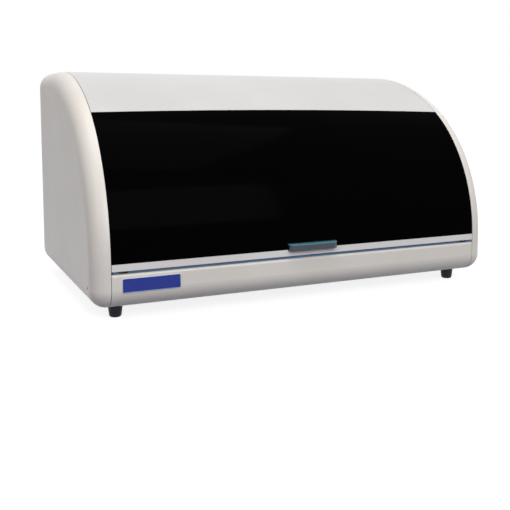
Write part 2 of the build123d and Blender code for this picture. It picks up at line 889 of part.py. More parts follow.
with BuildPart() as idler_post:
    with BuildSketch(from_above(beam_top)):
        with Locations((idler_x, beam_middle)):
            RectangleRounded(beam_width / 2, beam_width / 2, idler_base_round)
    extrude(amount=pulley_rise - beam_top - running_gap)
    with BuildSketch(from_above(beam_top)):
        with Locations((idler_x, beam_middle)):
            Circle(shaft_radius)
    extrude(amount=pulley_rise - beam_top + belt_width + 3 * pulley_flange + running_gap)
    with BuildSketch(from_above(pulley_rise + belt_width + 3 * pulley_flange + running_gap)):
        with Locations((idler_x, beam_middle)):
            Circle(idler_cap_radius)
    extrude(amount=pulley_flange)

with BuildPart() as x_belt:
    with BuildSketch(from_above(belt_rise)):
        with Locations(((idler_x + drive_x) / 2, beam_middle)):
            SlotCenterToCenter(drive_x - idler_x, 2 * (pulley_radius + belt_thickness))
            SlotCenterToCenter(drive_x - idler_x, 2 * pulley_radius, mode=Mode.SUBTRACT)
    extrude(amount=belt_width)

# Carriage: a block on the rail, with a jaw over the front run of the belt
belt_run_depth = beam_middle - pulley_radius - belt_thickness / 2
jaw_top = belt_rise - jaw_floor + jaw_height
with BuildPart() as x_carriage:
    with BuildSketch(from_side(carriage_home - carriage_width / 2)):
        with Locations(((carriage_face + beam_front - slide_gap) / 2, x_rail_rise)):
            Rectangle(carriage_front - slide_gap, carriage_height)
        with Locations((beam_front - x_rail_height / 2, x_rail_rise)):
            Rectangle(x_rail_height + 2 * running_gap, x_rail_width + 2 * running_gap, mode=Mode.SUBTRACT)
    extrude(amount=carriage_width)
    chamfer(x_carriage.faces().sort_by(Axis.Y)[0].edges(), edge_break)
    jaw_back = belt_run_depth + 3 * belt_thickness
    with BuildSketch(from_side(carriage_home - carriage_width / 4)):
        with Locations((carriage_face + jaw_thickness / 2, (x_rail_rise + jaw_top) / 2)):
            Rectangle(jaw_thickness, jaw_top - x_rail_rise)
        with Locations(((carriage_face + jaw_back) / 2, jaw_top - jaw_height / 2)):
            Rectangle(jaw_back - carriage_face, jaw_height)
        with Locations((belt_run_depth, belt_rise + belt_width)):
            Rectangle(belt_thickness + 2 * slide_gap, 2 * (belt_width + slide_gap), mode=Mode.SUBTRACT)
    extrude(amount=carriage_width / 2)

with BuildPart() as y_arm:
    with BuildSketch(from_front(carriage_face)):
        with Locations((carriage_home, arm_middle_rise)):
            RectangleRounded(arm_width, arm_height, arm_wall)
    extrude(amount=carriage_face - arm_front)
    with BuildSketch(from_front(carriage_face)):
        with Locations((carriage_home, arm_middle_rise)):
            Rectangle(arm_width - 2 * arm_wall, arm_height - 2 * arm_wall)
    extrude(amount=carriage_face - arm_front - arm_wall, mode=Mode.SUBTRACT)
    with BuildSketch(from_front(carriage_face)):
        with Locations((arm_left - arm_rail_height / 2, arm_middle_rise)):
            Rectangle(arm_rail_height, arm_rail_width)
    extrude(amount=carriage_face - arm_front - 2 * arm_wall)
    with BuildSketch(from_side(carriage_home)):
        with Locations(((carriage_face + arm_front) / 2, arm_middle_rise)):
            with GridLocations(2 * arm_height, 1, 4, 1):
                SlotOverall(1.5 * arm_height, arm_height / 3)
    extrude(amount=arm_width, mode=Mode.SUBTRACT)

# Head: plate with guides round the rack bar, open at the front so that the mesh shows
lug_depth = rack_bar + 2 * guide_wall
plate_left = pinion_x - small_motor / 2
plate_right = arm_left - slide_gap
plate_bottom = rack_bottom - head_plate_below
plate_top = arm_middle_rise + arm_height / 2 + head_plate_above
guide_rises = [
    plate_bottom + guide_height / 2,
    pinion_rise + pitch_radius + guide_clearance + guide_height / 2,
    plate_top - guide_height / 2,
]
with BuildPart() as head_block:
    with BuildSketch(from_front(head_back + head_plate)):
        with Locations(((plate_left + plate_right) / 2, (plate_bottom + plate_top) / 2)):
            RectangleRounded(plate_right - plate_left, plate_top - plate_bottom, head_plate_round)
    extrude(amount=head_plate)
    with BuildSketch(from_front(head_back)):
        for guide_rise in guide_rises:
            with Locations((needle_home_x, guide_rise)):
                Rectangle(lug_depth, guide_height)
    extrude(amount=head_back - needle_home_depth + rack_bar / 2 + guide_wall)
    with BuildSketch(from_front(head_back)):
        slider_left = needle_home_x + rack_bar / 2 + guide_wall
        with Locations(((slider_left + plate_right) / 2, arm_middle_rise)):
            Rectangle(plate_right - slider_left, arm_height)
    extrude(amount=2 * rack_bar)
    with BuildSketch(from_front(head_back + head_plate)):
        with Locations((arm_left - arm_rail_height / 2, arm_middle_rise)):
            Rectangle(arm_rail_height + 2 * running_gap, arm_rail_width + 2 * running_gap)
    extrude(amount=head_plate + 2 * rack_bar, mode=Mode.SUBTRACT)
    with BuildSketch(from_above(plate_bottom)):
        with Locations((needle_home_x, needle_home_depth)):
            Rectangle(rack_bar + 2 * running_gap, rack_bar + 2 * running_gap)
    extrude(amount=plate_top - plate_bottom, mode=Mode.SUBTRACT)
    with BuildSketch(from_front(head_back + head_plate)):
        with Locations((pinion_x, pinion_rise)):
            Circle(shaft_radius + running_gap)
    extrude(amount=head_plate, mode=Mode.SUBTRACT)

with BuildPart() as z_motor:
    with Locations(from_front(head_back + head_plate) * Pos(pinion_x, pinion_rise) * Rot(180, 0, 0)):
        add(motor_body(small_motor, small_motor_length))

# Motor of the arm's slide, on the arm's free side close to the carriage
with BuildPart() as y_motor:
    with Locations(
        from_side(arm_left + arm_width) * Pos(carriage_face - small_motor / 2 - edge_break, arm_middle_rise)
    ):
        add(motor_body(small_motor, small_motor_length))

# Rack and pinion: involute teeth on the pinion, straight flanks on the rack, same module
flank = tan(radians(pressure_angle))


def involute_angle(radius):
    """Angle swept by the involute between the base circle and radius."""
    pressure = acos(min(1.0, pitch_radius * cos(radians(pressure_angle)) / radius))
    return tan(pressure) - pressure


def pinion_tooth():
    """One tooth on the X axis, each flank an arc through three points of its involute."""
    base_radius = pitch_radius * cos(radians(pressure_angle))
    tip_radius = pitch_radius + gear_module
    root_radius = pitch_radius - gear_dedendum * gear_module
    half_tooth = (pi * gear_module / 2 - gear_backlash) / 2 / pitch_radius
    radii = [base_radius, (base_radius + tip_radius) / 2, tip_radius]
    turns = [half_tooth + involute_angle(pitch_radius) - involute_angle(radius) for radius in radii]
    upper = [(radius * cos(turn), radius * sin(turn)) for radius, turn in zip(radii, turns)]
    lower = [(x, -y) for x, y in upper]
    foot_point = (root_radius * 0.95, upper[0][1])
    with BuildSketch() as tooth:
        with BuildLine():
            ThreePointArc(*upper)
            Line(upper[2], lower[2])
            ThreePointArc(*lower)
            Polyline(lower[0], (foot_point[0], -foot_point[1]), foot_point, upper[0])
        make_face()
    return tooth.sketch


with BuildPart() as z_pinion:
    with BuildSketch(from_front(needle_home_depth + pinion_width / 2)):
        with Locations((pinion_x, pinion_rise)):
            Circle(pitch_radius - gear_dedendum * gear_module)
            with PolarLocations(0, pinion_teeth):
                add(pinion_tooth())
    extrude(amount=pinion_width)
    with BuildSketch(from_front(needle_home_depth + pinion_width / 2)):
        with Locations((pinion_x, pinion_rise)):
            Circle(shaft_radius)
    shaft_back = head_back + head_plate + small_motor_length / motor_bore_share - shaft_clearance
    extrude(amount=needle_home_depth + pinion_width / 2 - shaft_back)

tooth_pitch = pi * gear_module
spaces_below = int((rack_below_pinion - gear_module) / tooth_pitch)
spaces_above = int((rack_top - pinion_rise - gear_module) / tooth_pitch)
with BuildPart() as z_rack:
    with BuildSketch(from_front(needle_home_depth + rack_bar / 2)):
        with Locations((needle_home_x, (rack_bottom + rack_top) / 2)):
            Rectangle(rack_bar, rack_top - rack_bottom)
        half_tip = tooth_pitch / 4 + gear_module * flank
        half_root = tooth_pitch / 4 - gear_dedendum * gear_module * flank
        tip_x = needle_home_x - rack_bar / 2
        root_x = tip_x + (1 + gear_dedendum) * gear_module
        for step in range(-spaces_below, spaces_above + 1):
            middle = pinion_rise + step * tooth_pitch
            with BuildLine():
                Polyline(
                    (tip_x, middle - half_tip),
                    (root_x, middle - half_root),
                    (root_x, middle + half_root),
                    (tip_x, middle + half_tip),
                    close=True,
                )
            make_face(mode=Mode.SUBTRACT)
    extrude(amount=rack_bar)

with BuildPart() as probe_needle:
    with BuildSketch(from_above(rack_bottom)):
        with Locations((needle_home_x, needle_home_depth)):
            Circle(needle_hub_radius)
    extrude(amount=-needle_hub_height)
    chamfer(probe_needle.faces().sort_by(Axis.Z)[0].edges(), needle_hub_radius / 2)
    with BuildSketch(from_above(rack_bottom)):
        with Locations((needle_home_x, needle_home_depth)):
            Circle(needle_radius)
    extrude(amount=-needle_length)

# Racks: blocks with blind bores for tubes and compartments for bottles
sample_length = (tube_rows - 1) * row_pitch + 2 * sample_rack_margin
with BuildPart() as sample_rack:
    with BuildSketch(from_above(deck_top)):
        with Locations((sample_middle_x, sample_middle)):
            RectangleRounded(sample_width, sample_length, rack_round)
    extrude(amount=sample_rack_height)
    chamfer(sample_rack.faces().sort_by(Axis.Z)[-1].edges(), edge_break)
    with BuildSketch(from_above(deck_top + sample_rack_height)):
        with Locations((sample_middle_x, sample_middle)):
            with GridLocations(column_pitch, row_pitch, tube_columns, tube_rows):
                Circle(tube_bore)
    extrude(amount=-tube_bore_depth, mode=Mode.SUBTRACT)

reagent_room = wash_x - wash_size / 2 - sample_middle_x - sample_width / 2
reagent_columns = int((reagent_room - 2 * rack_gap - reagent_rib) / (reagent_well_width + reagent_rib))
reagent_centre = wash_x - wash_size / 2 - reagent_room / 2
reagent_width = reagent_columns * (reagent_well_width + reagent_rib) + reagent_rib
reagent_length = reagent_rows * (reagent_well_depth + reagent_rib) + reagent_rib
with BuildPart() as reagent_rack:
    with BuildSketch(from_above(deck_top)):
        with Locations((reagent_centre, sample_middle)):
            RectangleRounded(reagent_width, reagent_length, rack_round)
    extrude(amount=reagent_rack_height)
    with BuildSketch(from_above(deck_top + reagent_rack_height)):
        with Locations((reagent_centre, sample_middle)):
            pitches = (reagent_well_width + reagent_rib, reagent_well_depth + reagent_rib)
            with GridLocations(*pitches, reagent_columns, reagent_rows):
                RectangleRounded(reagent_well_width, reagent_well_depth, rack_round)
    extrude(amount=-reagent_well_drop, mode=Mode.SUBTRACT)

# Wash cup with an overflow trough and a drain through the deck
with BuildPart() as wash_station:
    with BuildSketch(from_above(deck_top)):
        with Locations((wash_x, needle_home_depth)):
            RectangleRounded(wash_size, wash_size, rack_round)
    extrude(amount=wash_height)
    with BuildSketch(from_above(deck_top + wash_height)):
        with Locations((wash_x, needle_home_depth)):
            Circle(wash_size / 2 - wash_trough)
            Circle(wash_bore + wash_trough, mode=Mode.SUBTRACT)
    extrude(amount=-wash_height / 2, mode=Mode.SUBTRACT)
    with BuildSketch(from_above(deck_top + wash_height)):
        with Locations((wash_x, needle_home_depth)):
            Circle(wash_bore)
    extrude(amount=-wash_height * 0.8, mode=Mode.SUBTRACT)
    with BuildSketch(from_above(deck_top)):
        with Locations((wash_x, needle_home_depth)):
            Circle(drain_radius)
    extrude(amount=-drain_length)
    with BuildSketch(from_above(deck_top)):
        with Locations((wash_x, needle_home_depth)):
            Circle(drain_radius / 2)
    extrude(amount=-drain_length, mode=Mode.SUBTRACT)

# Plate stage: a carrier with a nest for one microplate, on two rods
rod_depths = [nest_centre + side * stage_rod_spacing / 2 for side in (-1, 1)]
with BuildPart() as stage_rails:
    for rod_depth in rod_depths:
        with BuildSketch(from_side(rod_start)):
            with Locations((rod_depth, rod_rise)):
                Circle(stage_rod_radius)
        extrude(amount=rod_end - rod_start)

with BuildPart() as stage_brackets:
    for bracket_x in (rod_start, rod_end - stage_bracket):
        with BuildSketch(from_side(bracket_x)):
            with Locations((nest_centre, (deck_top + rod_rise) / 2)):
                Rectangle(stage_rod_spacing + 5 * stage_rod_radius, rod_rise - deck_top)
            for rod_depth in rod_depths:
                with Locations((rod_depth, rod_rise)):
                    Circle(2 * stage_rod_radius)
            with Locations((nest_centre, rod_rise)):
                Rectangle(stage_rod_spacing / 2, stage_rod_rise, mode=Mode.SUBTRACT)
            for rod_depth in rod_depths:
                with Locations((rod_depth, rod_rise)):
                    Circle(stage_rod_radius, mode=Mode.SUBTRACT)
        extrude(amount=stage_bracket)

block_rise = carrier_bottom + edge_break - rod_rise + stage_block / 2
with BuildPart() as plate_carrier:
    with BuildSketch(from_above(carrier_bottom)):
        with Locations((nest_home, nest_centre)):
            RectangleRounded(carrier_width, carrier_length, rack_round)
            Rectangle(plate_breadth - 2 * nest_ledge, plate_length - 2 * nest_ledge, mode=Mode.SUBTRACT)
    extrude(amount=carrier_thickness)
    with BuildSketch(from_above(carrier_bottom + carrier_thickness)):
        with Locations((nest_home, nest_centre)):
            Rectangle(plate_breadth + 2 * nest_gap, plate_length + 2 * nest_gap)
    extrude(amount=-nest_depth, mode=Mode.SUBTRACT)
    with BuildSketch(from_side(nest_home - carrier_width / 2)):
        for rod_depth in rod_depths:
            with Locations((rod_depth, rod_rise + block_rise / 2 - stage_block / 2)):
                Rectangle(stage_block, block_rise)
    extrude(amount=carrier_width)
    with BuildSketch(from_above(carrier_bottom + carrier_thickness - nest_depth)):
        with Locations((nest_home, nest_centre)):
            Rectangle(plate_breadth + 2 * nest_gap, plate_length + 2 * nest_gap)
    extrude(amount=nest_depth, mode=Mode.SUBTRACT)
    with BuildSketch(from_side(nest_home - carrier_width / 2)):
        with Locations(*[(rod_depth, rod_rise) for rod_depth in rod_depths]):
            Circle(stage_rod_radius + running_gap)
    extrude(amount=carrier_width, mode=Mode.SUBTRACT)

# Reader: a hood over the stage's end with a tunnel for the plate, and the camera inside
tower_top = deck_top + tower_height
with BuildPart() as reader_housing:
    with BuildSketch(from_above(deck_top)):
        with Locations((read_x, nest_centre)):
            RectangleRounded(tower_width, tower_depth, tower_round)
    extrude(amount=tower_height)
    fillet(reader_housing.faces().sort_by(Axis.Z)[-1].edges(), tower_top_round)
    with BuildSketch(from_above(deck_top)):
        with Locations((read_x, nest_centre)):
            RectangleRounded(tower_width - 2 * wall, tower_depth - 2 * wall, tower_round - wall)
    extrude(amount=tower_height - wall, mode=Mode.SUBTRACT)
    with BuildSketch(from_side(read_x)):
        with Locations((nest_centre, deck_top)):
            RectangleRounded(tunnel_width, 2 * tunnel_height, tower_top_round)
    extrude(amount=-tower_width, mode=Mode.SUBTRACT)

with BuildPart() as reader_optics:
    with BuildSketch(from_above(tower_top - wall)):
        with Locations((read_x, nest_centre)):
            RectangleRounded(camera_size, camera_size, rack_round)
    extrude(amount=-camera_height)
    with BuildSketch(from_above(tower_top - wall - camera_height)):
        with Locations((read_x, nest_centre)):
            Circle(lens_radius)
    extrude(amount=-lens_length / 2)
    with BuildSketch(from_above(tower_top - wall - camera_height - lens_length / 2)):
        with Locations((read_x, nest_centre)):
            Circle(lens_tip_radius)
    extrude(amount=-lens_length / 2)

# Syringe pump: column, glass barrel, and a plunger driven along a slot
with BuildPart() as syringe_pump:
    with BuildSketch(from_above(deck_top)):
        with Locations((pump_x, pump_front + pump_depth / 2)):
            RectangleRounded(pump_width, pump_depth, pump_round)
    extrude(amount=pump_height)
    with BuildSketch(from_above(barrel_top)):
        with Locations((pump_x, (pump_front + barrel_depth) / 2)):
            RectangleRounded(2 * barrel_offset, barrel_offset + 2 * barrel_radius + pump_round, pump_round)
    extrude(amount=pump_height - barrel_top + deck_top)
    with BuildSketch(from_above(barrel_top - barrel_length)):
        with Locations((pump_x, (pump_front + barrel_depth) / 2)):
            Rectangle(2 * barrel_offset - pump_round, pump_front - barrel_depth)
        with Locations((pump_x, barrel_depth)):
            Circle(barrel_radius + running_gap, mode=Mode.SUBTRACT)
    extrude(amount=pump_round)
    with BuildSketch(from_front(pump_front)):
        slot_top = barrel_top - barrel_length - pump_round
        slot_bottom = plunger_rest - barrel_length - plunger_travel - driver_height - slide_gap
        with Locations((pump_x, (slot_top + slot_bottom) / 2)):
            Rectangle(driver_tongue + 2 * running_gap, slot_top - slot_bottom)
    extrude(amount=-driver_tongue - running_gap, mode=Mode.SUBTRACT)

with BuildPart() as syringe_barrel:
    with BuildSketch(from_above(barrel_top)):
        with Locations((pump_x, barrel_depth)):
            Circle(barrel_radius)
            Circle(barrel_radius - barrel_wall, mode=Mode.SUBTRACT)
    extrude(amount=-barrel_length)

with BuildPart() as syringe_plunger:
    with BuildSketch(from_above(plunger_rest)):
        with Locations((pump_x, barrel_depth)):
            Circle(barrel_radius - barrel_wall - running_gap)
    extrude(amount=piston_height)
    with BuildSketch(from_above(plunger_rest)):
        with Locations((pump_x, barrel_depth)):
            Circle(plunger_rod_radius)
    extrude(amount=-barrel_length)
    with BuildSketch(from_above(plunger_rest - barrel_length)):
        with Locations((pump_x, barrel_depth)):
            RectangleRounded(driver_width, 2 * (barrel_offset - slide_gap), plunger_rod_radius)
        with Locations((pump_x, pump_front)):
            Rectangle(driver_tongue, 2 * driver_tongue - 2 * slide_gap)
    extrude(amount=-driver_height)

# Power inlet: flanged socket with three blades
with BuildPart() as power_inlet:
    with BuildSketch(from_front(body_depth + bezel_thickness)):
        with Locations((inlet_x, socket_rise)):
            RectangleRounded(
                inlet_width + 5 * bezel_thickness, inlet_height + 2 * bezel_thickness, bezel_round
            )
    extrude(amount=bezel_thickness)
    with BuildSketch(from_front(body_depth)):
        with Locations((inlet_x, socket_rise)):
            Rectangle(inlet_width, inlet_height)
    extrude(amount=inlet_depth)
    with BuildSketch(from_front(body_depth + bezel_thickness)):
        with Locations((inlet_x, socket_rise)):
            RectangleRounded(
                inlet_width - 2 * bezel_thickness, inlet_height - 2 * bezel_thickness, bezel_round
            )
    extrude(amount=inlet_depth - bezel_thickness, mode=Mode.SUBTRACT)
    with BuildSketch(from_front(body_depth - inlet_depth + 2 * bezel_thickness)):
        with Locations((inlet_x, socket_rise)):
            with Locations((-blade_pitch, -blade_width), (0, blade_width), (blade_pitch, -blade_width)):
                Rectangle(blade_width, 2 * blade_width)
    extrude(amount=-inlet_depth / 2)

# Power switch: frame and rocker
with BuildPart() as switch_frame:
    with BuildSketch(from_front(body_depth + bezel_thickness)):
        with Locations((switch_x, socket_rise)):
            RectangleRounded(
                switch_width + 4 * bezel_thickness, switch_height + 4 * bezel_thickness, bezel_round
            )
    extrude(amount=bezel_thickness)
    with BuildSketch(from_front(body_depth)):
        with Locations((switch_x, socket_rise)):
            Rectangle(switch_width + 2 * bezel_thickness, switch_height + 2 * bezel_thickness)
    extrude(amount=switch_depth)
    with BuildSketch(from_front(body_depth + bezel_thickness)):
        with Locations((switch_x, socket_rise)):
            Rectangle(switch_width, switch_height)
    extrude(amount=switch_depth, mode=Mode.SUBTRACT)
    with BuildSketch(from_side(switch_x - switch_width / 2 - bezel_thickness / 2)):
        with Locations((body_depth, socket_rise)):
            Circle(rocker_pin_radius + running_gap)
    extrude(amount=switch_width + bezel_thickness, mode=Mode.SUBTRACT)

rocker_reach = switch_height / 2 - slide_gap
rocker_plane = from_side(switch_x - switch_width / 2 + slide_gap) * Location(
    (body_depth, socket_rise), rocker_tilt
)
with BuildPart() as power_rocker:
    with BuildSketch(rocker_plane):
        with BuildLine():
            Polyline(
                (-rocker_reach / 2, 0.75 * rocker_reach),
                (rocker_reach / 3, 0.9 * rocker_reach),
                (bezel_thickness, 0),
                (rocker_reach / 3, -0.9 * rocker_reach),
                (-rocker_reach / 2, -0.75 * rocker_reach),
            )
            ThreePointArc(
                (-rocker_reach / 2, 0.75 * rocker_reach),
                (-0.85 * rocker_reach, 0),
                (-rocker_reach / 2, -0.75 * rocker_reach),
            )
        make_face()
    extrude(amount=switch_width - 2 * slide_gap)
    with BuildSketch(from_side(switch_x - switch_width / 2 - bezel_thickness / 4)):
        with Locations((body_depth, socket_rise)):
            Circle(rocker_pin_radius)
    extrude(amount=switch_width + bezel_thickness / 2)

# Data socket: metal shell with a tongue
with BuildPart() as data_port:
    with BuildSketch(from_front(body_depth + bezel_thickness / 2)):
        with Locations((data_x, socket_rise)):
            Rectangle(data_width, data_height)
    extrude(amount=data_length)
    with BuildSketch(from_front(body_depth + bezel_thickness / 2)):
        with Locations((data_x, socket_rise)):
            Rectangle(data_width - bezel_thickness, data_height - bezel_thickness)
            Rectangle(data_width / 2, data_height / 4, mode=Mode.SUBTRACT)
    extrude(amount=data_length / 2, mode=Mode.SUBTRACT)

# Fluid ports: a strip of straight spigots through the rear cover
with BuildPart() as fluid_ports:
    with BuildSketch(from_front(body_depth + port_strip_thickness)):
        with Locations((fluid_x, socket_rise)):
            RectangleRounded(fluid_pitch * fluid_ports_count, port_strip_height, spigot_radius)
    extrude(amount=port_strip_thickness)
    with BuildSketch(from_front(body_depth + port_reach)):
        with Locations((fluid_x, socket_rise)):
            with GridLocations(fluid_pitch, 1, fluid_ports_count, 1):
                Circle(spigot_radius)
    extrude(amount=2 * port_reach)
    with BuildSketch(from_front(body_depth + port_reach)):
        with Locations((fluid_x, socket_rise)):
            with GridLocations(fluid_pitch, 1, fluid_ports_count, 1):
                Circle(spigot_bore)
    extrude(amount=2 * port_reach, mode=Mode.SUBTRACT)

# Fan: frame inside the rear cover, guard outside, rotor in the frame
rotor_back = body_depth - wall - fan_depth / 4
rotor_radius = fan_radius - fan_tip_gap
with BuildPart() as fan_frame:
    with BuildSketch(from_front(body_depth - wall)):
        with Locations((fan_x, fan_rise)):
            RectangleRounded(fan_size, fan_size, motor_corner)
            Circle(fan_radius, mode=Mode.SUBTRACT)
    extrude(amount=fan_depth)
    with BuildSketch(from_front(body_depth - wall - fan_depth + bezel_thickness)):
        with Locations((fan_x, fan_rise)):
            Circle(fan_hub_radius)
            with PolarLocations(fan_radius / 2, 4, start_angle=45):
                Rectangle(fan_radius + bezel_thickness, bezel_thickness)
    extrude(amount=bezel_thickness)
    with BuildSketch(from_front(body_depth - wall - fan_depth + bezel_thickness)):
        with Locations((fan_x, fan_rise)):
            Circle(shaft_radius)
    extrude(amount=-fan_depth / 2)

with BuildPart() as fan_rotor:
    rotor_front = body_depth - wall - fan_depth + 2 * bezel_thickness
    with BuildSketch(from_front(rotor_back)):
        with Locations((fan_x, fan_rise)):
            Circle(fan_hub_radius)
    extrude(amount=rotor_back - rotor_front)
    for blade in range(fan_blades):
        blade_turn = 360 / fan_blades * blade
        blade_middle = (fan_hub_radius + rotor_radius) / 2
        blade_length = rotor_radius - fan_hub_radius + 2 * blade_root
        with BuildSketch(from_front(rotor_back)):
            with Locations(Location((fan_x, fan_rise), blade_turn + blade_twist)):
                with Locations((blade_middle - blade_root, 0)):
                    Rectangle(blade_length, bezel_thickness)
        with BuildSketch(from_front(rotor_front)):
            with Locations(Location((fan_x, fan_rise), blade_turn - blade_twist)):
                with Locations((blade_middle - blade_root, 0)):
                    Rectangle(blade_length, bezel_thickness)
        loft()
    with BuildSketch(from_front(rotor_back)):
        with Locations((fan_x, fan_rise)):
            Circle(shaft_radius + running_gap)
    extrude(amount=rotor_back - rotor_front, mode=Mode.SUBTRACT)

with BuildPart() as fan_guard:
    with BuildSketch(from_front(body_depth + guard_thickness)):
        with Locations((fan_x, fan_rise)):
            for ring in range(guard_rings):
                ring_radius = (ring + 1) * fan_radius / guard_rings + guard_wire
                Circle(ring_radius)
                Circle(ring_radius - guard_wire, mode=Mode.SUBTRACT)
            with PolarLocations((fan_radius + guard_overlap) / 2, 4, start_angle=45):
                Rectangle(fan_radius + guard_overlap, 2 * guard_wire)
            Circle(fan_hub_radius / 2)
    extrude(amount=guard_thickness)

# Electronics on the tray's floor
with BuildPart() as power_supply:
    with BuildSketch(from_above(wall)):
        with Locations((supply_x, supply_centre)):
            Rectangle(supply_length, supply_width)
    extrude(amount=supply_height)
    with BuildSketch(from_front(supply_centre + supply_width / 2)):
        with Locations((supply_x, wall + supply_height / 2)):
            Rectangle(supply_length - 2 * supply_wall, supply_height - 2 * supply_wall)
    extrude(amount=supply_width - supply_wall, mode=Mode.SUBTRACT)
    with BuildSketch(from_above(wall + supply_height)):
        with Locations((supply_x, supply_centre)):
            with GridLocations(2 * vent_pitch, 2 * vent_pitch, supply_vent_columns, supply_vent_rows):
                SlotOverall(supply_vent_length, vent_width)
    extrude(amount=-supply_wall, mode=Mode.SUBTRACT)

with BuildPart() as main_board:
    board_bottom = wall + standoff_height
    with BuildSketch(from_above(board_bottom)):
        with Locations((board_x, board_centre)):
            RectangleRounded(board_length, board_width, standoff_radius)
    extrude(amount=board_thickness)
    with BuildSketch(from_above(board_bottom + board_thickness)):
        with Locations((board_x, board_centre)):
            with GridLocations(
                board_length / connector_columns, board_width - 2 * connector_width, connector_columns, 2
            ):
                Rectangle(connector_length, connector_width)
            Rectangle(processor_size, processor_size)
    extrude(amount=2 * board_thickness)

# Case screws: one low on each cheek, through to its side plate
with BuildPart() as case_screws:
    for side in (-1, 1):
        head_x = side * (body_width / 2 - cheek_screw_recess)
        outward = Plane(
            origin=(head_x, front_y + cheek_screw_depth, foot_height + cheek_screw_rise),
            x_dir=(0, 1, 0),
            z_dir=(side, 0, 0),
        )
        with Locations(outward):
            add(screw(screw_head_radius, screw_head_height, screw_radius, cheek_width - cheek_screw_recess))

pieces = {
    "base_tray": base_tray,
    "left_cheek": left_cheek,
    "right_cheek": right_cheek,
    "left_side_plate": left_side_plate,
    "right_side_plate": right_side_plate,
    "rear_cover": rear_cover,
    "deck_plate": deck_plate,
    "bulkhead": bulkhead,
    "nameplate": nameplate,
    "foot_screws": foot_screws,
    "lid_bumpers": lid_bumpers,
    "hinge_pins": hinge_pins,
    "lid_band": lid_band,
    "window_panel": window_panel,
    "lower_rail": lower_rail,
    "lid_handle": lid_handle,
    "left_lid_frame": left_lid_frame,
    "right_lid_frame": right_lid_frame,
    "lid_screws": lid_screws,
    "x_beam": x_beam,
    "x_rail": x_rail,
    "x_motor": x_motor,
    "x_drive_pulley": x_drive_pulley,
    "x_idler_pulley": x_idler_pulley,
    "idler_post": idler_post,
    "x_belt": x_belt,
    "x_carriage": x_carriage,
    "y_arm": y_arm,
    "y_motor": y_motor,
    "head_block": head_block,
    "z_motor": z_motor,
    "z_pinion": z_pinion,
    "z_rack": z_rack,
    "probe_needle": probe_needle,
    "sample_rack": sample_rack,
    "reagent_rack": reagent_rack,
    "wash_station": wash_station,
    "stage_rails": stage_rails,
    "stage_brackets": stage_brackets,
    "plate_carrier": plate_carrier,
    "reader_housing": reader_housing,
    "reader_optics": reader_optics,
    "syringe_pump": syringe_pump,
    "syringe_barrel": syringe_barrel,
    "syringe_plunger": syringe_plunger,
    "power_inlet": power_inlet,
    "switch_frame": switch_frame,
    "power_rocker": power_rocker,
    "data_port": data_port,
    "fluid_ports": fluid_ports,
    "fan_frame": fan_frame,
    "fan_rotor": fan_rotor,
    "fan_guard": fan_guard,
    "power_supply": power_supply,
    "main_board": main_board,
    "case_screws": case_screws,
} | feet

os.makedirs("parts", exist_ok=True)
for name, piece in pieces.items():
    piece.part.label = name
    export_step(piece.part, f"parts/{name}.step")
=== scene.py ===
import json
from math import cos, radians, sin

import bmesh
import bpy
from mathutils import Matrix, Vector


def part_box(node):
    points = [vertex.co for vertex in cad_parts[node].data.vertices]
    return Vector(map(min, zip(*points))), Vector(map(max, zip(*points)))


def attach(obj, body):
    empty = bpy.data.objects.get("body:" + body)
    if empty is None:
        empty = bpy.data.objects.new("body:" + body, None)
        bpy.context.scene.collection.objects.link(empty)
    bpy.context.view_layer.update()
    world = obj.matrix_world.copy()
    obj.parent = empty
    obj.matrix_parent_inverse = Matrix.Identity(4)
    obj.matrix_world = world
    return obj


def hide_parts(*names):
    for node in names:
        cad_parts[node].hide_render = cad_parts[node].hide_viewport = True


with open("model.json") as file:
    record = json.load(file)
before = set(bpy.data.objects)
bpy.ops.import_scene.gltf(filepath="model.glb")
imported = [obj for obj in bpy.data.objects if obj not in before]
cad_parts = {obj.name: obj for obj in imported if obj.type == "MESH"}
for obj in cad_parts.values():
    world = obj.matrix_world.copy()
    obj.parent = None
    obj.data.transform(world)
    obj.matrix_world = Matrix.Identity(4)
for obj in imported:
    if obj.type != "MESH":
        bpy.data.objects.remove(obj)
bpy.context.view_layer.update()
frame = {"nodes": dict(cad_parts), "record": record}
nodes = frame["nodes"]
print("frame loaded:", len(nodes), "nodes")

right, back, up = Vector((1, 0, 0)), Vector((0, 1, 0)), Vector((0, 0, 1))
white = (1, 1, 1, 1)


def paint(red, green, blue):
    # a colour as a painter's chart gives it, 0 to 255, made linear by the sRGB curve
    def linear(part):
        part = part / 255
        return part / 12.92 if part <= 0.04045 else ((part + 0.055) / 1.055) ** 2.4

    return (linear(red), linear(green), linear(blue), 1.0)


# Camera: left of the middle and a little above
camera = dict(
    place=(-0.7008, -1.5227, 0.3731),
    turnRight=24.91,
    tiltDown=5.55,
    focalPixels=745.2,
    picturePixels=510,
    principalPixel=(257.7, 183.1),
    sensor=36.0,
    farthest=50,
)


def placeCamera(c):
    lens = bpy.data.cameras.new("camera")
    holder = bpy.data.objects.new("camera", lens)
    bpy.context.scene.collection.objects.link(holder)
    turn, tilt = radians(c["turnRight"]), radians(c["tiltDown"])
    ahead = Vector((sin(turn) * cos(tilt), cos(turn) * cos(tilt), -sin(tilt)))
    holder.location = c["place"]
    holder.rotation_mode = "QUATERNION"
    holder.rotation_quaternion = ahead.to_track_quat("-Z", "Y")
    half = c["picturePixels"] / 2
    lens.sensor_width = c["sensor"]
    lens.lens = c["focalPixels"] / c["picturePixels"] * c["sensor"]
    lens.shift_x = (half - c["principalPixel"][0]) / c["picturePixels"]
    lens.shift_y = (c["principalPixel"][1] - half) / c["picturePixels"]
    lens.clip_end = c["farthest"]
    bpy.context.scene.camera = holder


placeCamera(camera)
print("camera placed")


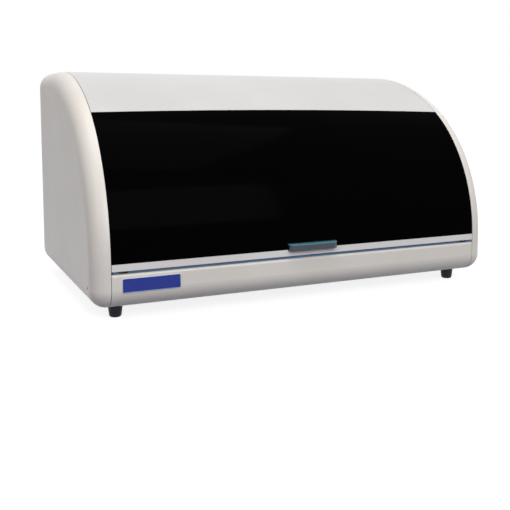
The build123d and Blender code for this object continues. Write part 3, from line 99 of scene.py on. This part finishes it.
class Wire:
    # one output socket, so that shader maths reads as an expression
    def __init__(self, look, socket):
        self.look = look
        self.socket = socket

    def combine(self, operation, first, second):
        return self.look.node("ShaderNodeMath", {"operation": operation}, {0: first, 1: second})

    def __add__(self, other):
        return self.combine("ADD", self, other)

    def __radd__(self, other):
        return self.combine("ADD", other, self)

    def __sub__(self, other):
        return self.combine("SUBTRACT", self, other)

    def __rsub__(self, other):
        return self.combine("SUBTRACT", other, self)

    def __mul__(self, other):
        return self.combine("MULTIPLY", self, other)

    def __rmul__(self, other):
        return self.combine("MULTIPLY", other, self)

    def __gt__(self, other):
        return self.combine("GREATER_THAN", self, other)

    # Python asks for this one when a number stands left of >
    def __lt__(self, other):
        return self.combine("LESS_THAN", self, other)

    # the greater of two, which joins two masks
    def __or__(self, other):
        return self.combine("MAXIMUM", self, other)

    def __ror__(self, other):
        return self.combine("MAXIMUM", other, self)

    def __abs__(self):
        return self.combine("ABSOLUTE", self, 0.0)


class Look:
    # one material: its Principled shader and the nodes that feed it
    def __init__(self, name):
        self.material = bpy.data.materials.new(name)
        self.material.use_nodes = True
        self.tree = self.material.node_tree
        self.shader = self.tree.nodes["Principled BSDF"]
        self.place = self.node("ShaderNodeTexCoord", out="Object")

    def node(self, kind, settings=None, sockets=None, out=0):
        made = self.tree.nodes.new(kind)
        for key, value in (settings or {}).items():
            if key == "stops":
                ramp = made.color_ramp.elements
                while len(ramp) < len(value):
                    ramp.new(0.5)
                for stop, (position, colour) in zip(ramp, value):
                    stop.position = position
                    stop.color = colour
            else:
                setattr(made, key, value)
        for key, value in (sockets or {}).items():
            self.feed(made.inputs[key], value)
        return Wire(self, made.outputs[out])

    def feed(self, socket, value):
        if isinstance(value, Wire):
            self.tree.links.new(value.socket, socket)
        else:
            socket.default_value = value

    def set(self, **values):
        # Base_Color stands for "Base Color", as a name in Python has no space
        for key, value in values.items():
            self.feed(self.shader.inputs[key.replace("_", " ")], value)

    def along(self, axis):
        return self.node("ShaderNodeSeparateXYZ", None, {0: self.place}, out=axis)

    def noise(self, size, detail, rough=0.5, stretch=(1, 1, 1)):
        spot = self.node("ShaderNodeMapping", None, {"Vector": self.place, "Scale": stretch})
        sockets = {"Vector": spot, "Scale": 1 / size, "Detail": detail, "Roughness": rough}
        return self.node("ShaderNodeTexNoise", None, sockets)

    def cells(self, size):
        return self.node("ShaderNodeTexVoronoi", None, {"Vector": self.place, "Scale": 1 / size})

    def ramp(self, value, stops):
        grey = [(position, (level, level, level, 1)) for position, level in stops]
        return self.node("ShaderNodeValToRGB", {"stops": grey}, {"Fac": value})

    def mix(self, factor, first, second):
        # sockets 6 and 7 of a Mix node are its two colours, and output 2 is the mixed one
        sockets = {"Factor": factor, 6: first, 7: second}
        return self.node("ShaderNodeMix", {"data_type": "RGBA"}, sockets, out=2)

    def bump(self, height, strength, distance):
        sockets = {"Height": height, "Strength": strength, "Distance": distance}
        self.set(Normal=self.node("ShaderNodeBump", None, sockets))


# Moulded or painted plastic: a fine grain, faint flow marks, patches a little glossier
plastic = dict(
    flowSize=0.16,
    flowStops=((0.35, 0), (0.65, 1)),
    speckSize=0.0035,
    speckStops=((0.62, 0), (0.72, 1)),
    speckShare=0.12,
    glossSize=0.05,
    glossSwing=0.08,
    coatRoughness=0.14,
    bumpStrength=0.35,
)


def moulded(name, colour, shade, grain=0.0011, depth=0.00006, rough=0.42, coat=0.0):
    p, look = plastic, Look(name)
    flow = look.ramp(look.noise(p["flowSize"], detail=2), p["flowStops"])
    speck = look.ramp(look.noise(p["speckSize"], detail=2), p["speckStops"])
    base = look.mix(flow, colour, shade)
    look.set(Base_Color=look.mix(speck * p["speckShare"], base, shade))
    gloss = look.noise(p["glossSize"], detail=4)
    look.set(Roughness=gloss * p["glossSwing"] + (rough - p["glossSwing"] / 2))
    look.set(Coat_Weight=coat, Coat_Roughness=p["coatRoughness"])
    grains = look.cells(grain) + look.noise(grain * 3, detail=2)
    look.bump(grains, p["bumpStrength"], depth)
    return look


# Machined, ground or anodised metal: long fine scratches along the tool's way
scratched = dict(
    grain=0.0009,
    scratchRough=0.7,
    scratchSwing=0.16,
    patchSize=0.03,
    patchSwing=0.08,
    bumpStrength=0.25,
    bumpDepth=0.00002,
)


def metal(name, colour, shade, rough, stretch):
    s, look = scratched, Look(name)
    lines = look.noise(s["grain"], detail=5, rough=s["scratchRough"], stretch=stretch)
    patches = look.noise(s["patchSize"], detail=3)
    look.set(Base_Color=look.mix(patches, colour, shade), Metallic=1.0)
    middle = rough - (s["scratchSwing"] + s["patchSwing"]) / 2
    look.set(Roughness=lines * s["scratchSwing"] + (patches * s["patchSwing"] + middle))
    look.bump(lines, s["bumpStrength"], s["bumpDepth"])
    return look


# Sprayed powder: an orange-peel surface with tiny pits
powder = dict(toneSize=0.12, roughSwing=0.12, bumpStrength=0.3, bumpDepth=0.00008)


def powderCoat(name, colour, shade, rough=0.5, pebble=0.0016):
    p, look = powder, Look(name)
    peel = look.noise(pebble, detail=3)
    look.set(Base_Color=look.mix(look.noise(p["toneSize"], detail=2), colour, shade))
    look.set(Roughness=peel * p["roughSwing"] + (rough - p["roughSwing"] / 2))
    look.bump(peel, p["bumpStrength"], p["bumpDepth"])
    return look


# Dull rubber: paler and rougher where it has rubbed, with a fine tooth
dull = dict(
    wornSize=0.012,
    wornStops=((0.45, 0), (0.8, 1)),
    rough=0.34,
    wornSwing=0.2,
    specular=0.25,
    tooth=0.0008,
    bumpStrength=0.3,
    bumpDepth=0.00006,
)


def rubber(name, colour, shade):
    d, look = dull, Look(name)
    worn = look.ramp(look.noise(d["wornSize"], detail=4), d["wornStops"])
    look.set(Base_Color=look.mix(worn, colour, shade))
    look.set(Roughness=d["rough"] + worn * d["wornSwing"], Specular_IOR_Level=d["specular"])
    look.bump(look.noise(d["tooth"], detail=3), d["bumpStrength"], d["bumpDepth"])
    return look


# Polished sheet: faint wiping marks and a very slight wave
polished = dict(
    wipeSize=0.01,
    wipeRough=0.6,
    wipeStretch=(0.12, 1, 1),
    toneSize=0.3,
    rough=0.07,
    roughSwing=0.06,
    waveSize=0.25,
    bumpStrength=0.05,
    bumpDepth=0.0008,
)


def acrylic(name, colour, shade, specular):
    p, look = polished, Look(name)
    wiped = look.noise(p["wipeSize"], detail=4, rough=p["wipeRough"], stretch=p["wipeStretch"])
    look.set(Base_Color=look.mix(look.noise(p["toneSize"], detail=1), colour, shade))
    look.set(Roughness=wiped * p["roughSwing"] + p["rough"], Specular_IOR_Level=specular)
    look.bump(look.noise(p["waveSize"], detail=1), p["bumpStrength"], p["bumpDepth"])
    return look


# Brushed foil: a pale printed border round the plate, worked out from the plate's own box
brushedFoil = dict(
    border=0.0014,
    brushSize=0.0006,
    brushRough=0.7,
    brushStretch=(0.04, 1, 1),
    brushShare=0.08,
    rough=0.28,
    roughSwing=0.15,
    specular=0.2,
    bumpStrength=0.15,
    bumpDepth=0.00002,
)


def badgeFoil(name, colour, rim):
    f, look = brushedFoil, Look(name)
    low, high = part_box("nameplate")
    middle, half = (low + high) / 2, (high - low) / 2
    across = abs(look.along("X") - middle.x) > half.x - f["border"]
    upDown = abs(look.along("Z") - middle.z) > half.z - f["border"]
    brushed = look.noise(f["brushSize"], detail=4, rough=f["brushRough"], stretch=f["brushStretch"])
    foil = look.mix(brushed * f["brushShare"], colour, rim)
    look.set(Base_Color=look.mix(across | upDown, foil, rim))
    look.set(Roughness=brushed * f["roughSwing"] + f["rough"], Specular_IOR_Level=f["specular"])
    look.bump(brushed, f["bumpStrength"], f["bumpDepth"])
    return look


# Tinted clear plastic with a painted highlight: its upper edge is coloured pale teal, as if lit there
tintAndPaintedHighlight = dict(
    edge=0.0024,
    paintedHighlightShare=0.8,
    swirlSize=0.02,
    swirlShare=0.08,
    glossSize=0.006,
    rough=0.1,
    roughSwing=0.08,
    coat=0.3,
    bumpStrength=0.05,
    bumpDepth=0.0002,
)


def tintWithPaintedHighlight(name, colour, glow):
    e, look = tintAndPaintedHighlight, Look(name)
    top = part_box("lid_handle")[1].z
    # the top band, where glow, the painted highlight's colour, is mixed into the base colour
    rim = look.along("Z") > top - e["edge"]
    swirl = look.noise(e["swirlSize"], detail=3)
    look.set(Base_Color=look.mix(rim * e["paintedHighlightShare"] + swirl * e["swirlShare"], colour, glow))
    gloss = look.noise(e["glossSize"], detail=3)
    look.set(Roughness=gloss * e["roughSwing"] + e["rough"], Coat_Weight=e["coat"])
    look.bump(swirl, e["bumpStrength"], e["bumpDepth"])
    return look


# Circuit board: solder mask over copper tracks, with bare pads where the tracks meet
board = dict(
    pitch=0.006,
    scatter=0.35,
    trackStops=((0.03, 1), (0.07, 0)),
    trackShare=0.35,
    padPitch=0.7,
    padStops=((0.1, 1), (0.16, 0)),
    glossSize=0.004,
    rough=0.24,
    roughSwing=0.12,
    bumpStrength=0.4,
    bumpDepth=0.00005,
)


def circuitBoard(name, mask, copper):
    b, look = board, Look(name)
    sockets = {"Vector": look.place, "Scale": 1 / b["pitch"], "Randomness": b["scatter"]}
    net = look.node("ShaderNodeTexVoronoi", {"feature": "DISTANCE_TO_EDGE"}, sockets)
    tracks = look.ramp(net, b["trackStops"])
    pads = look.ramp(look.cells(b["pitch"] * b["padPitch"]), b["padStops"])
    look.set(Base_Color=look.mix(pads, look.mix(tracks * b["trackShare"], mask, copper), copper))
    gloss = look.noise(b["glossSize"], detail=2)
    look.set(Metallic=pads, Roughness=gloss * b["roughSwing"] + b["rough"])
    look.bump(tracks + pads, b["bumpStrength"], b["bumpDepth"])
    return look


# Clear barrel: glass with a few wiping marks
barrel = dict(
    wipeSize=0.004,
    wipeRough=0.6,
    wipeStretch=(1, 1, 0.1),
    wipeShare=0.2,
    rough=0.02,
    roughSwing=0.08,
    seenThrough=0.85,
    ior=1.47,
    bumpStrength=0.05,
    bumpDepth=0.00002,
)


def clearGlass(name, colour, mark):
    b, look = barrel, Look(name)
    wiped = look.noise(b["wipeSize"], detail=4, rough=b["wipeRough"], stretch=b["wipeStretch"])
    look.set(Base_Color=look.mix(wiped * b["wipeShare"], colour, mark))
    look.set(Roughness=wiped * b["roughSwing"] + b["rough"])
    look.set(Transmission_Weight=b["seenThrough"], IOR=b["ior"])
    look.bump(wiped, b["bumpStrength"], b["bumpDepth"])
    return look


# One finish for each material slot: its colour, and the shade that the pattern turns it to
alongX, alongZ = (0.04, 1, 1), (1, 1, 0.05)
looks = {
    "shell_grey": moulded("shellPlastic", paint(216, 210, 203), paint(211, 205, 197), coat=0.1),
    "lid_pale": moulded(
        "bandPaint", paint(196, 194, 193), paint(191, 189, 188),
        grain=0.002, depth=0.00003, rough=0.34, coat=0.15,
    ),
    "window_black": acrylic("windowAcrylic", paint(2, 2, 3), paint(4, 4, 5), specular=0.004),
    "rail_grey": moulded(
        "railPaint", paint(218, 214, 212), paint(212, 208, 205),
        grain=0.002, depth=0.00003, rough=0.36, coat=0.2,
    ),
    # the second colour is the tab's painted highlight along its upper edge
    "handle_tint": tintWithPaintedHighlight("handleTint", paint(20, 28, 50), paint(70, 128, 142)),
    "rubber_black": rubber("blackRubber", paint(8, 8, 22), paint(17, 17, 32)),
    "name_blue": badgeFoil("badgeFoil", paint(10, 36, 138), paint(196, 206, 224)),
    "sheet_white": powderCoat("sheetPowderCoat", paint(205, 207, 208), paint(196, 198, 200)),
    "alloy": metal(
        "anodisedAlloy", paint(206, 208, 211), paint(190, 192, 196), rough=0.36, stretch=alongX
    ),
    "steel": metal(
        "groundSteel", paint(190, 190, 192), paint(168, 168, 172), rough=0.28, stretch=alongX
    ),
    "motor_black": powderCoat(
        "motorEnamel", paint(38, 38, 42), paint(30, 30, 34), rough=0.42, pebble=0.0008
    ),
    "rack_blue": moulded(
        "rackPlastic", paint(52, 84, 130), paint(46, 75, 118),
        grain=0.0009, depth=0.00005, rough=0.4,
    ),
    "wash_white": moulded(
        "naturalAcetal", paint(232, 230, 222), paint(224, 222, 213),
        grain=0.0016, depth=0.00002, rough=0.3,
    ),
    "instrument_dark": powderCoat(
        "darkEnamel", paint(62, 66, 72), paint(54, 58, 64), rough=0.46, pebble=0.0011
    ),
    "optics_black": moulded(
        "blackNylon", paint(30, 30, 33), paint(38, 38, 42),
        grain=0.0007, depth=0.00004, rough=0.36,
    ),
    "plunger_metal": metal(
        "turnedSteel", paint(200, 200, 204), paint(178, 178, 184), rough=0.26, stretch=alongZ
    ),
    "board_green": circuitBoard("circuitBoard", paint(18, 84, 50), paint(184, 140, 70)),
    "barrel_glass": clearGlass("barrelGlass", paint(238, 245, 246), paint(210, 222, 226)),
}
print("materials made:", len(looks))

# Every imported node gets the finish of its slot
for entry in frame["record"]["subparts"]:
    mesh = nodes[entry["node"]].data
    mesh.materials.clear()
    mesh.materials.append(looks[entry["material_slot"]].material)

# Modelling: distances in metres, angles in degrees, and how far a front face's normal looks forward
shaping = dict(mergeWithin=1e-6, touching=1e-5, roundedFrom=60, smoothUpTo=32, facing=0.9)


class Pen:
    # draws an outline with one vertex that is pulled along, in the plane of two directions
    def __init__(self, origin, across, upwards):
        self.bm = bmesh.new()
        self.origin, self.across, self.upwards = Vector(origin), Vector(across), Vector(upwards)
        self.last = None

    def spot(self, a, b):
        return self.origin + self.across * a + self.upwards * b

    def line(self, a, b):
        aim = self.spot(a, b)
        if self.last is None:
            self.last = bmesh.ops.create_vert(self.bm, co=aim)["vert"][0]
            return self
        made = bmesh.ops.extrude_vert_indiv(self.bm, verts=[self.last])["verts"][0]
        bmesh.ops.translate(self.bm, verts=[made], vec=aim - self.last.co)
        self.last = made
        return self

    def arc(self, a, b, turn, steps):
        # round the centre (a, b), turn in degrees, positive from across towards upwards
        made = bmesh.ops.spin(
            self.bm,
            geom=[self.last],
            cent=self.spot(a, b),
            axis=self.across.cross(self.upwards),
            angle=radians(turn),
            steps=steps,
        )
        self.last = next(item for item in made["geom_last"] if isinstance(item, bmesh.types.BMVert))
        return self

    def merge(self):
        bmesh.ops.remove_doubles(self.bm, verts=self.bm.verts, dist=shaping["mergeWithin"])

    def solid(self, depth):
        # closes the outline and pulls it across its plane
        self.merge()
        bmesh.ops.contextual_create(self.bm, geom=self.bm.edges)
        made = bmesh.ops.extrude_face_region(self.bm, geom=self.bm.faces, use_keep_orig=True)
        moved = [item for item in made["geom"] if isinstance(item, bmesh.types.BMVert)]
        bmesh.ops.translate(self.bm, verts=moved, vec=self.across.cross(self.upwards) * depth)
        bmesh.ops.recalc_face_normals(self.bm, faces=self.bm.faces)
        return self.bm

    def turned(self, steps):
        # spins the outline once round the line through the origin along upwards
        bmesh.ops.spin(
            self.bm,
            geom=self.bm.verts[:] + self.bm.edges[:],
            cent=self.origin,
            axis=self.upwards,
            angle=radians(360),
            steps=steps,
            use_merge=True,
        )
        self.merge()
        bmesh.ops.recalc_face_normals(self.bm, faces=self.bm.faces)
        return self.bm


def roundEdges(bm, plane, radius, steps):
    # rounds the sharp edges that lie wholly in front of a plane, which is given by its Y
    def chosen(edge):
        sharp = edge.calc_face_angle(0) > radians(shaping["roundedFrom"])
        return sharp and all(vert.co.y < plane - shaping["touching"] for vert in edge.verts)

    bmesh.ops.bevel(
        bm,
        geom=[edge for edge in bm.edges if chosen(edge)],
        offset=radius,
        affect="EDGES",
        segments=steps,
        profile=0.5,
        material=-1,
        clamp_overlap=True,
    )


def frontFaces(bm, least=0.0):
    # the faces that look to the front and are larger than the least area
    return [face for face in bm.faces if face.normal.y < -shaping["facing"] and face.calc_area() > least]


def finished(name, bm, body, slotName, look=None, replaced=()):
    # writes the mesh to an object that rides on its body
    mesh = bpy.data.meshes.new(name)
    bm.to_mesh(mesh)
    bm.free()
    mesh.shade_smooth()
    mesh.set_sharp_from_angle(angle=radians(shaping["smoothUpTo"]))
    mesh.materials.append((look or looks[slotName]).material)
    piece = bpy.data.objects.new(name, mesh)
    bpy.context.scene.collection.objects.link(piece)
    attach(piece, body)
    if replaced:
        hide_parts(*replaced)


# Feet: tapered rubber with a rolled rim, a rounded tip and a hollow under it
foot = dict(
    rimRound=0.0012,
    rimSteps=5,
    tipRound=0.0045,
    tipSteps=9,
    taper=0.0025,
    hollowRadius=0.0052,
    hollowHeight=0.003,
    hollowDraft=0.0006,
    turns=56,
)


def makeFoot(f, node):
    low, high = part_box(node)
    middle = (low + high) / 2
    top, height = (high.x - low.x) / 2, high.z - low.z
    tip, rim, toe = top - f["taper"], f["rimRound"], f["tipRound"]
    pen = Pen((middle.x, middle.y, low.z), right, up)
    pen.line(0, height).line(top - rim, height).arc(top - rim, height - rim, -90, f["rimSteps"])
    pen.line(tip, toe).arc(tip - toe, toe, -90, f["tipSteps"]).line(f["hollowRadius"], 0)
    pen.line(f["hollowRadius"] - f["hollowDraft"], f["hollowHeight"]).line(0, f["hollowHeight"])
    finished(node + "_rubber", pen.turned(f["turns"]), "cabinet", "rubber_black", replaced=[node])


for footName in ("front_left_foot", "front_right_foot", "rear_left_foot", "rear_right_foot"):
    makeFoot(foot, footName)

# Finger tab: a tinted tongue with round corners, softened all round
tab = dict(cornerRound=0.0119, cornerSteps=14, edgeRound=0.0022, edgeSteps=6, backReach=0.0005)


def makeTab(t):
    low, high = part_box("lid_handle")
    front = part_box("base_tray")[0].y
    half, reach, corner = (high.x - low.x) / 2, front - low.y, t["cornerRound"]
    pen = Pen(((low.x + high.x) / 2, front, high.z), right, -back)
    pen.line(-half, -t["backReach"]).line(-half, reach - corner)
    pen.arc(corner - half, reach - corner, -90, t["cornerSteps"]).line(half - corner, reach)
    pen.arc(half - corner, reach - corner, -90, t["cornerSteps"]).line(half, -t["backReach"])
    pen.line(-half, -t["backReach"])
    bm = pen.solid(high.z - low.z)
    roundEdges(bm, front + t["backReach"], t["edgeRound"], t["edgeSteps"])
    finished("fingerTab", bm, "lid", "handle_tint", replaced=["lid_handle"])


makeTab(tab)

# Name badge: a blank plate with a raised border, as wide as the printed one, and a sunk face
badge = dict(
    cornerRound=0.0044,
    cornerSteps=8,
    edgeRound=0.0002,
    edgeSteps=2,
    border=brushedFoil["border"],
    sink=0.00025,
)


def makeBadge(b):
    low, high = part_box("nameplate")
    half, rise, corner = (high.x - low.x) / 2, (high.z - low.z) / 2, b["cornerRound"]
    pen = Pen(((low.x + high.x) / 2, high.y, (low.z + high.z) / 2), right, up)
    pen.line(corner - half, -rise).line(half - corner, -rise)
    pen.arc(half - corner, corner - rise, 90, b["cornerSteps"]).line(half, rise - corner)
    pen.arc(half - corner, rise - corner, 90, b["cornerSteps"]).line(corner - half, rise)
    pen.arc(corner - half, rise - corner, 90, b["cornerSteps"]).line(-half, corner - rise)
    pen.arc(corner - half, corner - rise, 90, b["cornerSteps"])
    bm = pen.solid(high.y - low.y)
    roundEdges(bm, high.y, b["edgeRound"], b["edgeSteps"])
    bmesh.ops.inset_region(bm, faces=frontFaces(bm), thickness=b["border"], use_even_offset=True)
    sunk = frontFaces(bm, least=half * rise * 2)  # more than half of the plate, so not the border
    bmesh.ops.inset_region(bm, faces=sunk, thickness=b["sink"], depth=-b["sink"], use_even_offset=True)
    finished("badgePlate", bm, "cabinet", "name_blue", replaced=["nameplate"])


makeBadge(badge)

# Gap strip: a blue bulb strip on the tray's ledge, behind the gap under the lid's rail, cut at the
# bumpers. Its blue is painted shade and painted reflection, standing in for the shaded gap's blue line
gapShadeStrip = dict(
    setBack=0.0052,
    width=0.0042,
    height=0.0048,
    roundSteps=12,
    endGap=0.004,
    bumperGap=0.0015,
    # painted shade and painted reflection: the blue that the shaded gap's line shows
    tint=paint(58, 104, 142),
    shade=paint(48, 92, 130),
    specular=0.5,
)


def makeGapShadeStrip(s):
    trayLow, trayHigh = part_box("base_tray")
    bumperLow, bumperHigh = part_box("lid_bumpers")
    radius = s["width"] / 2
    bumperWidth = bumperHigh.y - bumperLow.y
    outer, inner = trayHigh.x - s["endGap"], bumperHigh.x - bumperWidth - s["bumperGap"]
    runs = dict(
        gapShadeStripLeft=(-outer, bumperLow.x - s["bumperGap"]),
        gapShadeStripMiddle=(-inner, inner),
        gapShadeStripRight=(bumperHigh.x + s["bumperGap"], outer),
    )
    tinted = acrylic("gapShadeBlue", s["tint"], s["shade"], s["specular"])
    for name, (start, end) in runs.items():
        pen = Pen((start, trayLow.y + s["setBack"], bumperLow.z), back, up)
        pen.line(0, 0).line(s["width"], 0).line(s["width"], s["height"] - radius)
        pen.arc(radius, s["height"] - radius, 180, s["roundSteps"]).line(0, 0)
        finished(name, pen.solid(end - start), "cabinet", "handle_tint", look=tinted)


makeGapShadeStrip(gapShadeStrip)
print("pieces made")

# Room: a pale floor that keeps the shadow, and a white surround
room = dict(
    floorSize=40.0,
    floorColour=paint(158, 159, 162),
    floorRoughness=0.9,
    floorSpecular=0.1,
    floorWhite=0.84,
    bounceColour=paint(42, 48, 80),
    surround=0.45,
)


def seenStraight(look):
    # one for rays that show the room in the picture, in a mirror or through glass, else nought
    kinds = ("Is Camera Ray", "Is Glossy Ray", "Is Transmission Ray")
    straight, mirrored, through = [look.node("ShaderNodeLightPath", out=kind) for kind in kinds]
    return straight | mirrored | through


def makeFloor(r):
    bm = bmesh.new()
    bmesh.ops.create_grid(bm, x_segments=1, y_segments=1, size=r["floorSize"] / 2)
    mesh = bpy.data.meshes.new("floor")
    bm.to_mesh(mesh)
    bm.free()
    floor = bpy.data.objects.new("floor", mesh)
    bpy.context.scene.collection.objects.link(floor)
    look = Look("floorPaper")
    look.set(Base_Color=r["floorColour"], Roughness=r["floorRoughness"])
    look.set(Specular_IOR_Level=r["floorSpecular"])
    paper = Wire(look, look.shader.outputs[0])
    glow = look.node("ShaderNodeEmission", None, {"Color": white, "Strength": r["floorWhite"]})
    lit = look.node("ShaderNodeAddShader", None, {0: paper, 1: glow})
    bounce = look.node("ShaderNodeBsdfDiffuse", None, {"Color": r["bounceColour"]})
    shown = look.node("ShaderNodeMixShader", None, {0: seenStraight(look), 1: bounce, 2: lit})
    look.feed(look.tree.nodes["Material Output"].inputs["Surface"], shown)
    mesh.materials.append(look.material)


class Surround(Look):
    # the world has the same kind of nodes, with a Background for its shader
    def __init__(self, world):
        world.use_nodes = True
        self.tree = world.node_tree
        self.tree.nodes.clear()


def makeSurround(r):
    world = bpy.data.worlds.new("surround")
    bpy.context.scene.world = world
    look = Surround(world)
    bright = look.node("ShaderNodeBackground", None, {"Color": white, "Strength": 1.0})
    soft = look.node("ShaderNodeBackground", None, {"Color": white, "Strength": r["surround"]})
    shown = look.node("ShaderNodeMixShader", None, {0: seenStraight(look), 1: soft, 2: bright})
    out = look.tree.nodes.new("ShaderNodeOutputWorld")
    look.feed(out.inputs["Surface"], shown)


makeFloor(room)
makeSurround(room)

# Lamps: soft panels, each as width and height in metres and power in watts
lamps = dict(
    overhead=dict(
        place=(-0.2, -0.5, 2.4), target=(0, 0, 0.3), size=(2.4, 1.6), power=27, colour=(1, 1, 1)
    ),
    leftStrip=dict(
        place=(-1.9, -1.7, 1.5), target=(-0.4, 0, 0.3), size=(0.22, 1.5), power=9, colour=(1.0, 0.94, 0.86)
    ),
    frontSoft=dict(
        place=(0.2, -2.8, 1.5), target=(0, 0, 0.2), size=(2.2, 1.4), power=44, colour=(0.97, 0.985, 1.0)
    ),
)


def hangLamp(name, p):
    light = bpy.data.lights.new(name, "AREA")
    light.shape = "RECTANGLE"
    light.size, light.size_y = p["size"]
    light.energy = p["power"]
    light.color = p["colour"]
    holder = bpy.data.objects.new(name, light)
    bpy.context.scene.collection.objects.link(holder)
    holder.location = p["place"]
    holder.rotation_mode = "QUATERNION"
    holder.rotation_quaternion = (Vector(p["target"]) - Vector(p["place"])).to_track_quat("-Z", "Y")


for lampName, panel in lamps.items():
    hangLamp(lampName, panel)
print("room lit")

bpy.context.scene.view_settings.view_transform = "Standard"
